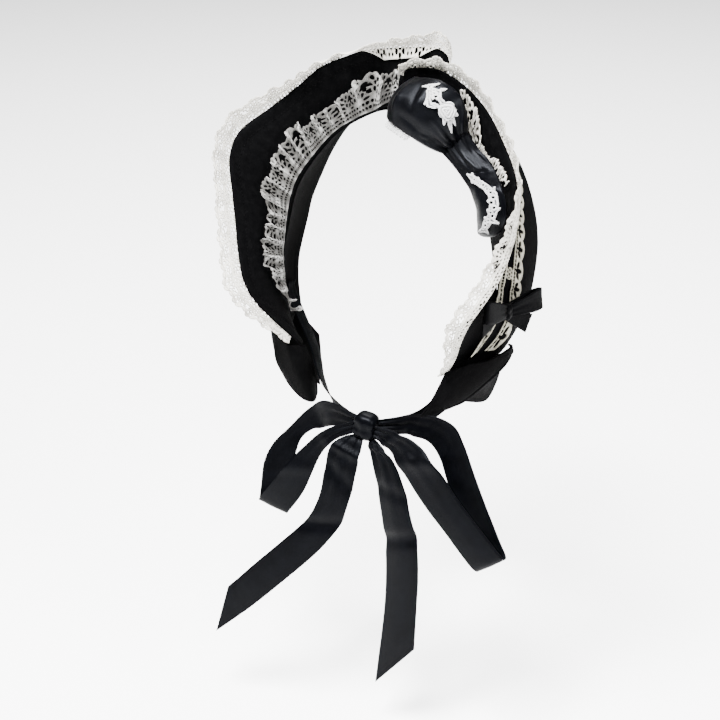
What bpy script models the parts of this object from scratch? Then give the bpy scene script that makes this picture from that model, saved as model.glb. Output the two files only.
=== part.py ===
"""A black half bonnet with ivory lace, satin bows and a chin ribbon, as it sits on a head.

The wearer looks along -Y and +Z is up. The origin lies on top of the head, under the band.
Every soft piece is a wall between two edge lines. Tables are in metres, a row for each section.
"""

import math

import bmesh
import bpy
import numpy as np
from mathutils import Vector

# Thicknesses
CLOTH = 0.0018
FLAP_CLOTH = 0.0016
LACE = 0.0010
SATIN = 0.0010
RIBBON = 0.0010
GAP = 0.0004  # between a piece and the one that it is sewn on
STRAP_GAP = 0.0015  # between a chin strap and the band's curved inner side
SIDE_BOW_LIFT = 0.0096  # from the band to the middle of a side bow's knot

# Widths and repeats
EDGE_SCALLOP = 0.0165
SCALLOP_DEPTH = 0.0035
RUFFLE_WIDTH = 0.030
RUFFLE_PITCH = 0.0135
BEADING_HALF = 0.0165
BEADING_SLOT_HALF = 0.0036
BEADING_SCALLOP = 0.0142
BEADING_SLOTS = 4  # scallops from one bridge over the ribbon to the next
BEADING_RIBBON_HALF = 0.0062
SIDE_BOW_WIDTH = 0.018
MOTIF_THICKNESS = 0.0012
PUFF_LACE_WIDTH = 0.011

# The brim's side, from the top centre down to its lower end, for the wearer's left.
# headline x, y, z,        edge x, y, z
BRIM_SIDE = [
    (0.078, -0.025, -0.058, 0.104, -0.043, -0.006),
    (0.085, -0.028, -0.071, 0.122, -0.062, -0.023),
    (0.090, -0.030, -0.086, 0.128, -0.070, -0.045),
    (0.094, -0.031, -0.103, 0.125, -0.072, -0.075),
    (0.097, -0.032, -0.120, 0.119, -0.078, -0.100),
    (0.099, -0.033, -0.136, 0.112, -0.087, -0.118),
    (0.098, -0.035, -0.152, 0.101, -0.098, -0.138),
    (0.094, -0.040, -0.168, 0.092, -0.095, -0.157),
    (0.087, -0.047, -0.185, 0.081, -0.080, -0.180),
    (0.076, -0.056, -0.203, 0.066, -0.063, -0.205),
]
# The left panel's top end lies in front and is rounded.
BRIM_LEFT_TOP = [
    (0.009, -0.014, -0.003, 0.009, -0.023, 0.027),
    (0.010, -0.014, -0.003, 0.013, -0.027, 0.037),
    (0.016, -0.014, -0.005, 0.024, -0.028, 0.040),
    (0.030, -0.014, -0.011, 0.041, -0.030, 0.041),
    (0.046, -0.015, -0.021, 0.059, -0.033, 0.036),
    (0.058, -0.018, -0.031, 0.074, -0.033, 0.026),
    (0.069, -0.021, -0.044, 0.088, -0.034, 0.012),
]
# The right panel's top end runs behind the left one and is rounded too.
BRIM_RIGHT_TOP = [
    (0.026, 0.010, 0.0055, 0.028, 0.021, 0.033),
    (0.024, 0.008, 0.0060, 0.026, 0.019, 0.041),
    (0.018, 0.003, 0.0060, 0.020, 0.013, 0.047),
    (0.008, -0.003, 0.0055, 0.010, 0.004, 0.048),
    (-0.003, -0.009, 0.0035, -0.004, -0.006, 0.048),
    (-0.012, -0.013, 0.0000, -0.015, -0.014, 0.048),
    (-0.022, -0.014, -0.007, -0.025, -0.027, 0.048),
    (-0.034, -0.014, -0.013, -0.038, -0.032, 0.043),
    (-0.054, -0.017, -0.027, -0.062, -0.033, 0.031),
    (-0.068, -0.020, -0.043, -0.085, -0.032, 0.011),
]
# The band behind the brim, from the top centre down, for the wearer's left.
# front x, y, z,           back x, y, z
BAND_SIDE = [
    (0.012, -0.014, -0.003, 0.016, 0.050, -0.004),
    (0.034, -0.014, -0.013, 0.048, 0.048, -0.018),
    (0.054, -0.017, -0.027, 0.074, 0.046, -0.038),
    (0.068, -0.020, -0.043, 0.090, 0.043, -0.062),
    (0.078, -0.025, -0.058, 0.101, 0.039, -0.088),
    (0.085, -0.028, -0.071, 0.107, 0.033, -0.108),
    (0.090, -0.030, -0.086, 0.109, 0.028, -0.125),
    (0.097, -0.032, -0.120, 0.110, 0.018, -0.146),
    (0.099, -0.033, -0.136, 0.109, 0.010, -0.160),
    (0.094, -0.040, -0.168, 0.105, 0.002, -0.178),
    (0.076, -0.056, -0.203, 0.098, -0.007, -0.195),
]
BAND_BELLY = 0.0055  # how far the band stands up between its two edges
# Beading lace: how far out from the top centre, 0 to 1, where its middle lies across the band,
# and how fast the brim's outside rises in front of the band there
BEADING_PLACE = [
    (0.00, 0.55, 1.00),
    (0.35, 0.57, 1.00),
    (0.50, 0.46, 1.00),
    (0.60, 0.35, 1.00),
    (0.70, 0.30, 1.00),
    (0.78, 0.18, 0.65),
    (0.83, 0.11, 0.42),
    (0.88, 0.15, 0.32),
    (0.93, 0.10, 0.28),
    (1.00, -0.06, 0.28),
]

# Front ear flaps: upper edge x, y, z, lower edge x, y, z, from the front to the back.
# The last upper point is sewn on the band's back corner.
FLAP_LEFT_FRONT = [
    (0.073, -0.073, -0.201, 0.057, -0.085, -0.236),
    (0.088, -0.064, -0.194, 0.068, -0.073, -0.234),
    (0.101, -0.047, -0.190, 0.083, -0.050, -0.229),
    (0.110, -0.024, -0.186, 0.095, -0.029, -0.217),
]
FLAP_LEFT_TIP = (0.102, -0.003, -0.203)
FLAP_RIGHT_FRONT = [
    (-0.0665, -0.056, -0.208, -0.0655, -0.038, -0.2615),
    (-0.072, -0.072, -0.203, -0.063, -0.050, -0.264),
    (-0.084, -0.069, -0.200, -0.074, -0.052, -0.261),
    (-0.097, -0.060, -0.196, -0.086, -0.053, -0.249),
    (-0.107, -0.042, -0.191, -0.096, -0.045, -0.234),
    (-0.112, -0.020, -0.187, -0.102, -0.026, -0.217),
]
FLAP_RIGHT_TIP = (-0.103, -0.003, -0.203)
# Back ear flaps: lower edge x, y, z, below the front flap that they are sewn behind
FLAP_LEFT_BACK = [
    (0.068, -0.034, -0.240),
    (0.073, -0.018, -0.247),
    (0.079, 0.001, -0.253),
    (0.084, 0.010, -0.240),
    (0.089, 0.009, -0.218),
]
FLAP_RIGHT_BACK = [
    (-0.066, -0.031, -0.256),
    (-0.073, -0.019, -0.254),
    (-0.080, -0.004, -0.244),
    (-0.086, 0.004, -0.226),
]

# Satin bow inside the brim: lower edge x, y, z, upper edge x, y, z, belly.
# The puff runs from the pinch over its front, round the fold and back.
PUFF = [
    (0.0560, -0.044, -0.0200, 0.0640, -0.042, -0.0090, 0.001),
    (0.0470, -0.054, -0.0150, 0.0740, -0.044, 0.0060, 0.005),
    (0.0340, -0.061, -0.0060, 0.0690, -0.046, 0.0270, 0.009),
    (0.0200, -0.059, 0.0000, 0.0510, -0.047, 0.0380, 0.009),
    (0.0080, -0.050, 0.0020, 0.0320, -0.043, 0.0370, 0.007),
    (0.0040, -0.040, 0.0040, 0.0250, -0.037, 0.0350, 0.005),
    (0.0080, -0.032, 0.0060, 0.0290, -0.033, 0.0330, 0.003),
    (0.0240, -0.030, 0.0060, 0.0450, -0.035, 0.0290, 0.003),
]
# The drape runs on from the pinch as a strap, then stands up in a second loop.
DRAPE = [
    (0.0574, -0.0447, -0.0217, 0.0654, -0.0427, -0.0107, 0.001),
    (0.0660, -0.049, -0.0290, 0.0840, -0.044, -0.0130, 0.003),
    (0.0760, -0.053, -0.0370, 0.0970, -0.050, -0.0210, 0.003),
    (0.0830, -0.056, -0.0430, 0.1060, -0.057, -0.0280, 0.004),
    (0.0880, -0.060, -0.0490, 0.1140, -0.064, -0.0350, 0.006),
    (0.0920, -0.063, -0.0560, 0.1200, -0.069, -0.0460, 0.007),
    (0.0930, -0.063, -0.0670, 0.1200, -0.070, -0.0600, 0.006),
    (0.0930, -0.058, -0.0780, 0.1110, -0.064, -0.0720, 0.002),
]
# White lace motifs: how far along and across the satin, and their half width, in metres
ROSE_MOTIF = [
    (0.450, 0.95, 0.0070),
    (0.430, 0.88, 0.0020),
    (0.410, 0.80, 0.0022),
    (0.385, 0.72, 0.0058),
    (0.345, 0.70, 0.0030),
    (0.305, 0.73, 0.0074),
    (0.262, 0.72, 0.0080),
    (0.225, 0.65, 0.0035),
    (0.180, 0.62, 0.0032),
    (0.150, 0.60, 0.0008),
]
LEAF_MOTIF = [
    (0.300, 0.28, 0.0024),
    (0.376, 0.40, 0.0050),
    (0.441, 0.55, 0.0050),
    (0.492, 0.70, 0.0040),
    (0.547, 0.75, 0.0050),
    (0.613, 0.73, 0.0050),
    (0.668, 0.60, 0.0040),
    (0.713, 0.42, 0.0050),
    (0.745, 0.25, 0.0015),
]
# Edge lace: along the brim, lean towards the face in degrees, width sewn on the brim,
# side (1 outside, -1 inside), free width
LACE_LEFT = [
    (0.00, 55, 0.0050, 1, 0.012),
    (0.05, 50, 0.0050, 1, 0.019),
    (0.10, 40, 0.0050, 1, 0.019),
    (0.15, 30, 0.0050, 1, 0.019),
    (0.20, 26, 0.0050, 1, 0.019),
    (0.30, 30, 0.0050, 1, 0.019),
    (0.36, 20, 0.0050, 1, 0.019),
    (0.45, 22, 0.0050, 1, 0.019),
    (0.53, 40, 0.0050, 1, 0.019),
    (0.60, 60, 0.0050, 1, 0.019),
    (0.65, 64, 0.0050, 1, 0.019),
    (0.72, 54, 0.0050, 1, 0.019),
    (0.80, 38, 0.0050, 1, 0.019),
    (0.86, 5, 0.0050, 1, 0.018),
    (1.00, -5, 0.0030, 1, 0.006),
]
LACE_RIGHT = [
    (0.00, 10, 0.0010, -1, 0.006),
    (0.045, 12, 0.0010, -1, 0.014),
    (0.08, 35, 0.0080, -1, 0.013),
    (0.15, 58, 0.0090, -1, 0.013),
    (0.19, 62, -0.0010, -1, 0.015),
    (0.23, 65, -0.0010, 1, 0.017),
    (0.27, 70, 0.0050, 1, 0.019),
    (0.32, 70, 0.0050, 1, 0.019),
    (0.40, 45, 0.0050, 1, 0.019),
    (0.46, 28, 0.0050, 1, 0.019),
    (0.60, 15, 0.0050, 1, 0.019),
    (0.70, 0, 0.0050, 1, 0.019),
    (0.80, -20, 0.0050, 1, 0.019),
    (0.88, -12, 0.0050, 1, 0.019),
    (1.00, 0, 0.0030, 1, 0.008),
]

# Inner ruffle's seams: along the brim, and across its face from the headline
SEAM_LEFT = [
    (0.180, 0.48),
    (0.220, 0.36),
    (0.262, 0.22),
    (0.304, 0.21),
    (0.354, 0.29),
    (0.388, 0.36),
    (0.430, 0.45),
]
SEAM_RIGHT = [(0.11, 0.07), (0.93, 0.07)]

# Chin ribbon: left edge x, y, z, right edge x, y, z, belly
CHIN_LOOP_RIGHT = [
    (-0.007, -0.079, -0.257, -0.006, -0.080, -0.267, 0.000),
    (-0.032, -0.084, -0.268, -0.024, -0.083, -0.277, 0.001),
    (-0.049, -0.089, -0.285, -0.035, -0.087, -0.291, 0.001),
    (-0.063, -0.093, -0.302, -0.042, -0.090, -0.309, 0.001),
    (-0.079, -0.095, -0.325, -0.051, -0.092, -0.331, 0.001),
    (-0.094, -0.093, -0.346, -0.066, -0.091, -0.354, 0.001),
    (-0.097, -0.089, -0.350, -0.070, -0.087, -0.357, 0.000),
    (-0.099, -0.082, -0.340, -0.071, -0.081, -0.342, 0.000),
    (-0.099, -0.076, -0.320, -0.070, -0.075, -0.316, 0.001),
    (-0.092, -0.071, -0.302, -0.066, -0.069, -0.294, 0.001),
    (-0.077, -0.067, -0.284, -0.056, -0.066, -0.283, 0.001),
    (-0.060, -0.066, -0.264, -0.047, -0.067, -0.280, 0.001),
    (-0.040, -0.069, -0.250, -0.033, -0.070, -0.272, 0.001),
    (-0.008, -0.074, -0.254, -0.008, -0.074, -0.265, 0.000),
]
CHIN_LOOP_LEFT = [
    (0.010, -0.080, -0.267, 0.010, -0.079, -0.257, 0.000),
    (0.028, -0.084, -0.273, 0.038, -0.083, -0.257, 0.001),
    (0.041, -0.089, -0.284, 0.060, -0.087, -0.264, 0.001),
    (0.056, -0.092, -0.302, 0.078, -0.091, -0.279, 0.001),
    (0.070, -0.094, -0.317, 0.094, -0.093, -0.298, 0.001),
    (0.086, -0.096, -0.332, 0.110, -0.095, -0.314, 0.001),
    (0.101, -0.097, -0.348, 0.126, -0.096, -0.330, 0.001),
    (0.113, -0.096, -0.361, 0.138, -0.095, -0.343, 0.001),
    (0.115, -0.091, -0.362, 0.139, -0.090, -0.344, 0.000),
    (0.102, -0.086, -0.344, 0.130, -0.086, -0.331, 0.000),
    (0.087, -0.081, -0.317, 0.115, -0.081, -0.305, 0.001),
    (0.078, -0.077, -0.293, 0.103, -0.076, -0.284, 0.001),
    (0.069, -0.073, -0.275, 0.091, -0.072, -0.260, 0.001),
    (0.056, -0.069, -0.266, 0.078, -0.068, -0.246, 0.001),
    (0.038, -0.070, -0.265, 0.052, -0.068, -0.243, 0.001),
    (0.012, -0.074, -0.265, 0.012, -0.074, -0.254, 0.000),
]
CHIN_TAIL_RIGHT = [
    (-0.004, -0.077, -0.2695, 0.001, -0.078, -0.2695, 0.000),
    (-0.018, -0.084, -0.274, 0.003, -0.085, -0.274, 0.001),
    (-0.026, -0.090, -0.284, 0.003, -0.091, -0.286, 0.001),
    (-0.028, -0.095, -0.302, 0.001, -0.096, -0.304, 0.001),
    (-0.030, -0.099, -0.322, -0.002, -0.100, -0.323, 0.001),
    (-0.036, -0.102, -0.340, -0.008, -0.103, -0.344, 0.001),
    (-0.046, -0.105, -0.355, -0.018, -0.106, -0.362, 0.001),
    (-0.062, -0.108, -0.373, -0.034, -0.109, -0.383, 0.001),
    (-0.088, -0.113, -0.401, -0.062, -0.114, -0.414, 0.001),
    (-0.104, -0.116, -0.419, -0.092, -0.118, -0.446, 0.001),
    (-0.115, -0.118, -0.431, -0.127, -0.122, -0.480, 0.000),
]
CHIN_TAIL_LEFT = [
    (0.005, -0.077, -0.2695, 0.010, -0.078, -0.2695, 0.000),
    (0.009, -0.083, -0.275, 0.021, -0.084, -0.273, 0.001),
    (0.014, -0.087, -0.288, 0.035, -0.088, -0.284, 0.001),
    (0.020, -0.090, -0.308, 0.045, -0.091, -0.302, 0.002),
    (0.026, -0.092, -0.337, 0.053, -0.093, -0.328, 0.002),
    (0.030, -0.093, -0.366, 0.060, -0.094, -0.356, 0.002),
    (0.031, -0.094, -0.400, 0.062, -0.095, -0.385, 0.001),
    (0.029, -0.094, -0.433, 0.061, -0.095, -0.413, 0.001),
    (0.025, -0.094, -0.470, 0.060, -0.095, -0.437, 0.001),
    (0.021, -0.094, -0.506, 0.059, -0.095, -0.459, 0.000),
]
# Chin straps: upper edge, lower edge, for the wearer's left, below the band
STRAP_SIDE = [
    (0.069, -0.044, -0.214, 0.073, -0.021, -0.226, 0.001),
    (0.058, -0.053, -0.229, 0.061, -0.033, -0.247, 0.001),
    (0.046, -0.061, -0.242, 0.046, -0.046, -0.261, 0.001),
    (0.031, -0.066, -0.250, 0.031, -0.058, -0.267, 0.001),
    (0.014, -0.069, -0.256, 0.014, -0.067, -0.265, 0.000),
    (0.003, -0.073, -0.257, 0.003, -0.072, -0.264, 0.000),
]
CHIN_KNOT_CENTRE = (0.0025, -0.0765, -0.2605)
CHIN_KNOT_SIZE = (0.021, 0.019, 0.024)

# Side bows on the beading lace: knot, back loop's tip, front loop's tip, two tail tips, wearer's left
SIDE_BOW = {
    "knot": (0.1010, -0.039, -0.1495),
    "back_tip": (0.1165, 0.001, -0.149),
    "front_tip": (0.1010, -0.078, -0.136),
    "back_tail": (0.1142, -0.006, -0.171),
    "front_tail": (0.0990, -0.075, -0.152),
}


def material(name, color, roughness, sheen=0.0):
    made = bpy.data.materials.new(name)
    made.use_nodes = True
    shader = made.node_tree.nodes["Principled BSDF"]
    shader.inputs["Base Color"].default_value = (*color, 1.0)
    shader.inputs["Roughness"].default_value = roughness
    shader.inputs["Metallic"].default_value = 0.0
    shader.inputs["Sheen Weight"].default_value = sheen
    return made


def through(rows, at):
    """The smooth row at row number `at` of a table."""
    last = len(rows) - 1
    at = min(max(at, 0.0), float(last))
    i = min(int(at), last - 1)
    t = at - i
    b, c = rows[i], rows[i + 1]
    a = rows[i - 1] if i > 0 else 2 * b - c
    d = rows[i + 2] if i < last - 1 else 2 * c - b
    return 0.5 * (2 * b + (c - a) * t + (2 * a - 5 * b + 4 * c - d) * t**2 + (3 * b - a - 3 * c + d) * t**3)


class Wall:
    """A curved wall between two edge lines. `along` and `across` run from 0 to 1."""

    def __init__(self, rows, facing=1.0, belly=0.0):
        self.rows = [np.array(row if len(row) == 7 else (*row, belly)) for row in rows]
        self.facing = facing
        steps = np.linspace(0, len(rows) - 1, 300)
        line = np.array([through(self.rows, step)[3:6] for step in steps])
        gone = np.concatenate([[0.0], np.cumsum(np.linalg.norm(np.diff(line, axis=0), axis=1))])
        self.length = gone[-1]
        self.steps, self.gone = steps, gone

    def flat_point(self, along, across):
        row = through(self.rows, np.interp(along * self.length, self.gone, self.steps))
        return row[0:3] + (row[3:6] - row[0:3]) * across, row[6]

    def frame(self, along, across):
        """Point, unit normal and unit direction across."""
        step = 0.004
        point, belly = self.flat_point(along, across)
        low, high = max(along - step, 0.0), min(along + step, 1.0)
        forward = self.flat_point(high, across)[0] - self.flat_point(low, across)[0]
        side = self.flat_point(along, across + 0.5)[0] - self.flat_point(along, across - 0.5)[0]
        normal = np.cross(forward, side)
        normal *= self.facing / np.linalg.norm(normal)
        inside = min(max(across, 0.0), 1.0)
        point = point + normal * belly * 4 * inside * (1 - inside)
        return point, normal, side / np.linalg.norm(side)

    def width(self, along):
        return float(np.linalg.norm(self.flat_point(along, 1.0)[0] - self.flat_point(along, 0.0)[0]))

    def at(self, along, across, off=0.0):
        point, normal, _ = self.frame(along, across)
        return Vector(point + normal * off)


def mirrored(rows):
    return [tuple(-value if i in (0, 3) else value for i, value in enumerate(row)) for row in rows]


def sheet(name, columns, rows, place, thickness, finish, missing=None, cuts=None):
    """A grid of cells set out by place(along, across), with some cells left out, given a thickness."""
    body = bmesh.new()
    bmesh.ops.create_grid(body, x_segments=columns, y_segments=rows, size=0.5)
    if missing:
        gone = []
        for face in body.faces:
            middle = face.calc_center_median()
            if missing(int((middle.x + 0.5) * columns), int((middle.y + 0.5) * rows)):
                gone.append(face)
        bmesh.ops.delete(body, geom=gone, context="FACES")
    for vertex in body.verts:
        across = vertex.co.y + 0.5
        if cuts:
            across = cuts[round(across * rows)]
        vertex.co = place(min(max(vertex.co.x + 0.5, 0.0), 1.0), across)
    made = add(name, body, finish)
    wall = made.modifiers.new("Thickness", "SOLIDIFY")
    wall.thickness = thickness
    wall.offset = 0.0
    return made


def add(name, body, finish):
    mesh = bpy.data.meshes.new(name)
    body.to_mesh(mesh)
    body.free()
    mesh.materials.append(finish)
    made = bpy.data.objects.new(name, mesh)
    PIECES.objects.link(made)
    return made


def scallop(along, count):
    """1 at the middle of each scallop and 0 between two."""
    return abs(math.sin(math.pi * count * along)) ** 0.7


def brim_panel(name, wall):
    return sheet(name, 40, 3, wall.at, CLOTH, BLACK_CLOTH, cuts=[0.02, 0.35, 0.7, 1.0])


def edge_lace(name, wall, table, end):
    """Lace sewn along the brim's edge, from its top end to a share of its length."""
    count = round(wall.length * end / EDGE_SCALLOP)
    lift = CLOTH / 2 + LACE / 2 + GAP + 0.0005
    straight = 0.0015
    columns = np.array(table).T

    def place(share, part):
        along = share * end
        lean, sewn, outside, reach = (float(np.interp(along, columns[0], column)) for column in columns[1:])
        if part < 0:
            return wall.at(along, 1 - sewn / wall.width(along), outside * lift)
        if part > 1:
            reach -= SCALLOP_DEPTH * (1 - scallop(share, count))
        free = max(reach * part / 2 - straight, 0.0)
        point, normal, side = wall.frame(along, 1.0)
        angle = math.radians(lean)
        leaning = side * math.cos(angle) - normal * math.sin(angle)
        return Vector(point + normal * outside * lift + side * straight + leaning * free)

    def missing(column, row):
        return row == 1 and column % 3 == 1

    return sheet(name, count * 3, 3, place, LACE, IVORY_LACE, missing, [-1, 0, 1, 2])


def ruffle(name, wall, seam, fold):
    """Gathered lace on the brim's inner face, sewn along the seam's points (along, across)."""
    seam = np.array(seam).T
    start, end = seam[0][0], seam[0][-1]
    count = round(wall.length * (end - start) * 0.86 / RUFFLE_PITCH)

    def place(share, out):
        along = start + (end - start) * share
        reach = float(np.interp(along, seam[0], seam[1])) + out * RUFFLE_WIDTH / wall.width(along)
        lift = 0.0024 + out * fold * (1.35 + math.sin(2 * math.pi * count * share))
        return wall.at(along, reach, -lift)

    return sheet(name, count * 4, 1, place, LACE, IVORY_LACE)


def beading(band, lace_end, ribbon_end):
    """The beading lace and its ribbon on the band, each ending a share of the band's length short of its ends."""
    count = round(band.length * (1 - 2 * lace_end) / BEADING_SCALLOP)
    columns = np.array(BEADING_PLACE).T

    def on_band(along, out, off):
        """Out from the beading's middle. In front of the band it lies over the flaring brim."""
        middle, flare = (np.interp(abs(2 * along - 1), columns[0], column) for column in columns[1:])
        across = middle + out / band.width(along)
        ahead = max(-across, 0.0) * band.width(along)
        return band.at(along, across, off + ahead * flare)

    def place(share, out):
        along = lace_end + (1 - 2 * lace_end) * share
        rise = scallop(share, count) if abs(out) == BEADING_HALF else 1.0
        half = abs(out) - SCALLOP_DEPTH * (1 - rise)
        return on_band(along, math.copysign(half, out), CLOTH / 2 + RIBBON + LACE / 2 + 4 * GAP)

    def missing(column, row):
        return row == 1 and column % (2 * BEADING_SLOTS) and column < 2 * count - 1

    half, slot = BEADING_HALF, BEADING_SLOT_HALF
    sheet("beading_lace", count * 2, 3, place, LACE * 0.8, IVORY_LACE, missing, [-half, -slot, slot, half])

    def ribbon_place(share, out):
        return on_band(ribbon_end + (1 - 2 * ribbon_end) * share, out, CLOTH / 2 + RIBBON / 2 + GAP)

    half = BEADING_RIBBON_HALF
    sheet("beading_ribbon", 60, 1, ribbon_place, RIBBON * 0.7, BLACK_RIBBON, cuts=[-half, half])


def bow_wall(start, tip, normal, narrow, wide, rise, back_rise):
    """A ribbon loop from start out to tip and back, lying along a surface with this normal."""
    start, tip, normal = Vector(start), Vector(tip), Vector(normal).normalized()
    run = tip - start
    side = run.normalized().cross(normal)
    shares = [(0.0, 1.0, narrow), (0.35, 1.35, (narrow + wide) / 2), (0.75, 1.25, wide), (0.97, 0.9, wide)]
    rows = []
    for share, lift, width in shares:
        middle = start + run * share + normal * rise * lift
        rows.append((*(middle - side * width / 2), *(middle + side * width / 2), 0.0005))
    middle = start + run + normal * (rise * 0.9 + back_rise) / 2
    rows.append((*(middle - side * wide / 2), *(middle + side * wide / 2), 0.0))
    for share, lift, width in reversed(shares):
        middle = start + run * share + normal * back_rise
        rows.append((*(middle - side * width / 2), *(middle + side * width / 2), 0.0))
    return Wall(rows)


def rounded_knot(name, centre, size, turn, finish):
    """A soft knot: a squarish ball pressed to the size, with a crease round its waist."""
    body = bmesh.new()
    bmesh.ops.create_uvsphere(body, u_segments=12, v_segments=8, radius=0.5)
    for vertex in body.verts:
        vertex.co *= 0.5 / sum(abs(value) ** 3 for value in vertex.co) ** (1 / 3)
        crease = 1 - 0.12 * math.exp(-((vertex.co.z / 0.14) ** 2))
        vertex.co.x *= crease
        vertex.co.y *= crease
    made = add(name, body, finish)
    for vertex in made.data.vertices:
        vertex.co = Vector([value * part for value, part in zip(vertex.co, size)])
    made.location = centre
    made.rotation_euler = turn
    made.data.shade_smooth()
    return made


def cut_clear(pieces, knot):
    """Ends the pieces a small gap short of the knot that holds them."""
    body = bmesh.new()
    body.from_mesh(knot.data)
    size = Vector(knot.dimensions)
    bigger = [(value + 2 * GAP) / value for value in size]
    bmesh.ops.scale(body, vec=bigger, verts=body.verts)
    mesh = bpy.data.meshes.new(knot.name + "_cutter")
    body.to_mesh(mesh)
    body.free()
    cutter = bpy.data.objects.new(knot.name + "_cutter", mesh)
    CUTTERS.objects.link(cutter)
    cutter.location = knot.location
    cutter.rotation_euler = knot.rotation_euler
    cutter.display_type = "WIRE"
    cutter.hide_render = True
    for piece in pieces:
        cut = piece.modifiers.new("Knot", "BOOLEAN")
        cut.operation = "DIFFERENCE"
        cut.object = cutter


def strip(name, wall, columns, thickness, finish, rows=1, start=0.0, end=1.0):
    def place(along, across):
        return wall.at(start + (end - start) * along, across)

    return sheet(name, columns, rows, place, thickness, finish)


def side_bow(side, sign):
    spots = {key: Vector((place[0] * sign, *place[1:])) for key, place in SIDE_BOW.items()}
    normal = Vector((sign, -0.10, 0.12)).normalized()
    knot = spots["knot"] + normal * SIDE_BOW_LIFT
    made = []
    for part in ("back", "front"):
        tip = spots[part + "_tip"] + normal * (SIDE_BOW_LIFT - 0.002)
        loop = bow_wall(knot - normal * 0.001, tip, normal, 0.009, SIDE_BOW_WIDTH, 0.0036, -0.0008)
        made.append(strip(f"side_bow_{side}_loop_{part}", loop, 14, RIBBON, BLACK_RIBBON))
    for part, sink in (("back", 0.0050), ("front", 0.0036)):
        tip = spots[part + "_tail"] + normal * (SIDE_BOW_LIFT - 0.004)
        run = tip - knot
        across = run.normalized().cross(normal)
        rows = []
        for share, width, slant in ((0.08, 0.008, 0), (0.35, 0.012, 0), (0.7, 0.015, 0), (1.0, 0.017, 0.005)):
            middle = knot + run * share - normal * sink * (1 - share)
            low = middle - across * width / 2
            high = middle + across * width / 2 - run.normalized() * slant
            rows.append((*low, *high, 0.0002))
        made.append(strip(f"side_bow_{side}_tail_{part}", Wall(rows), 8, RIBBON, BLACK_RIBBON))
    turn = (0, 0, math.radians(5 * sign))
    lump = rounded_knot(f"side_bow_{side}_knot", knot, (0.011, 0.010, 0.014), turn, BLACK_RIBBON)
    cut_clear(made, lump)


def ear_flaps(side, front_rows, front_tip, back_edge, facing, band_end, off, tuck, span):
    """The front flap hangs off the band's end. The back one is sewn behind its span, at tuck across it."""
    sewn = band.at(band_end, 0.85, off)
    front = Wall(front_rows + [(*sewn, *front_tip)], facing, 0.003)
    shares = np.linspace(*span, len(back_edge))
    behind = [front.at(share, tuck, -FLAP_CLOTH - 2 * GAP) for share in shares]
    back = Wall([(*top, *low) for top, low in zip(behind, back_edge)], facing, -0.001)
    strip(f"ear_flap_front_{side}", front, 12, FLAP_CLOTH, BLACK_CLOTH, 3)
    strip(f"ear_flap_back_{side}", back, 8, FLAP_CLOTH, BLACK_CLOTH, 2)


def motif(name, wall, rows, off):
    """A lace motif laid on a wall along a path of (along, across, half width)."""
    spots = [np.array(row) for row in rows]

    def place(share, side):
        at = share * (len(spots) - 1)
        here, before, after = (through(spots, at + step) for step in (0, -0.05, 0.05))
        size = np.array([wall.length, wall.width(here[0])])
        run = (after - before)[:2] * size
        sideways = np.array([-run[1], run[0]]) / np.linalg.norm(run)
        spot = here[:2] + sideways * here[2] * (2 * side - 1) / size
        return wall.at(spot[0], spot[1], off)

    def missing(column, row):
        return row == 1 and column % 4 == 2

    return sheet(name, 2 * (len(spots) - 1), 3, place, MOTIF_THICKNESS, WHITE_LACE, missing)


def puff_lace(wall, start, end):
    """The lace edge that shows below the satin puff."""

    def place(share, out):
        along = start + (end - start) * share
        drop = PUFF_LACE_WIDTH * out / wall.width(along)
        return wall.at(along, 0.01 - drop, -(SATIN / 2 + LACE / 2 + 2 * GAP))

    return sheet("puff_lace", 10, 1, place, LACE, WHITE_LACE)


for leftover in list(bpy.data.objects):
    bpy.data.objects.remove(leftover)
PIECES = bpy.data.collections.new("half_bonnet")
CUTTERS = bpy.data.collections.new("cutters")
bpy.context.scene.collection.children.link(PIECES)
bpy.context.scene.collection.children.link(CUTTERS)

BLACK_CLOTH = material("black_cloth", (0.012, 0.012, 0.014), 0.8, 0.2)
BLACK_SATIN = material("black_satin", (0.015, 0.016, 0.020), 0.32)
BLACK_RIBBON = material("black_ribbon", (0.013, 0.013, 0.016), 0.45)
IVORY_LACE = material("ivory_lace", (0.80, 0.77, 0.70), 0.85)
WHITE_LACE = material("white_lace", (0.86, 0.86, 0.86), 0.8)

# Brim, band and the laces sewn on them
brim_left = Wall(BRIM_LEFT_TOP + BRIM_SIDE, facing=-1.0, belly=-0.002)
brim_right = Wall(BRIM_RIGHT_TOP + mirrored(BRIM_SIDE), facing=1.0, belly=-0.002)
band = Wall(mirrored(BAND_SIDE)[::-1] + BAND_SIDE, facing=1.0, belly=BAND_BELLY)
brim_panel("brim_left", brim_left)
brim_panel("brim_right", brim_right)
sheet("band", 40, 3, band.at, CLOTH, BLACK_CLOTH, cuts=[0.022, 0.35, 0.7, 1.0])
edge_lace("edge_lace_left", brim_left, LACE_LEFT, 0.985)
edge_lace("edge_lace_right", brim_right, LACE_RIGHT, 0.97)
ruffle("ruffle_left", brim_left, SEAM_LEFT, 0.0014)
ruffle("ruffle_right", brim_right, SEAM_RIGHT, 0.0048)
beading(band, 0.022, 0.016)

# Bows and flaps at the sides
for side, sign in (("left", 1.0), ("right", -1.0)):
    side_bow(side, sign)
ear_flaps("left", FLAP_LEFT_FRONT, FLAP_LEFT_TIP, FLAP_LEFT_BACK, -1.0, 0.985, 0.0021, 0.97, (0.40, 0.93))
ear_flaps("right", FLAP_RIGHT_FRONT, FLAP_RIGHT_TIP, FLAP_RIGHT_BACK, 1.0, 0.015, 0.0011, 0.45, (0.47, 0.94))

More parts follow.
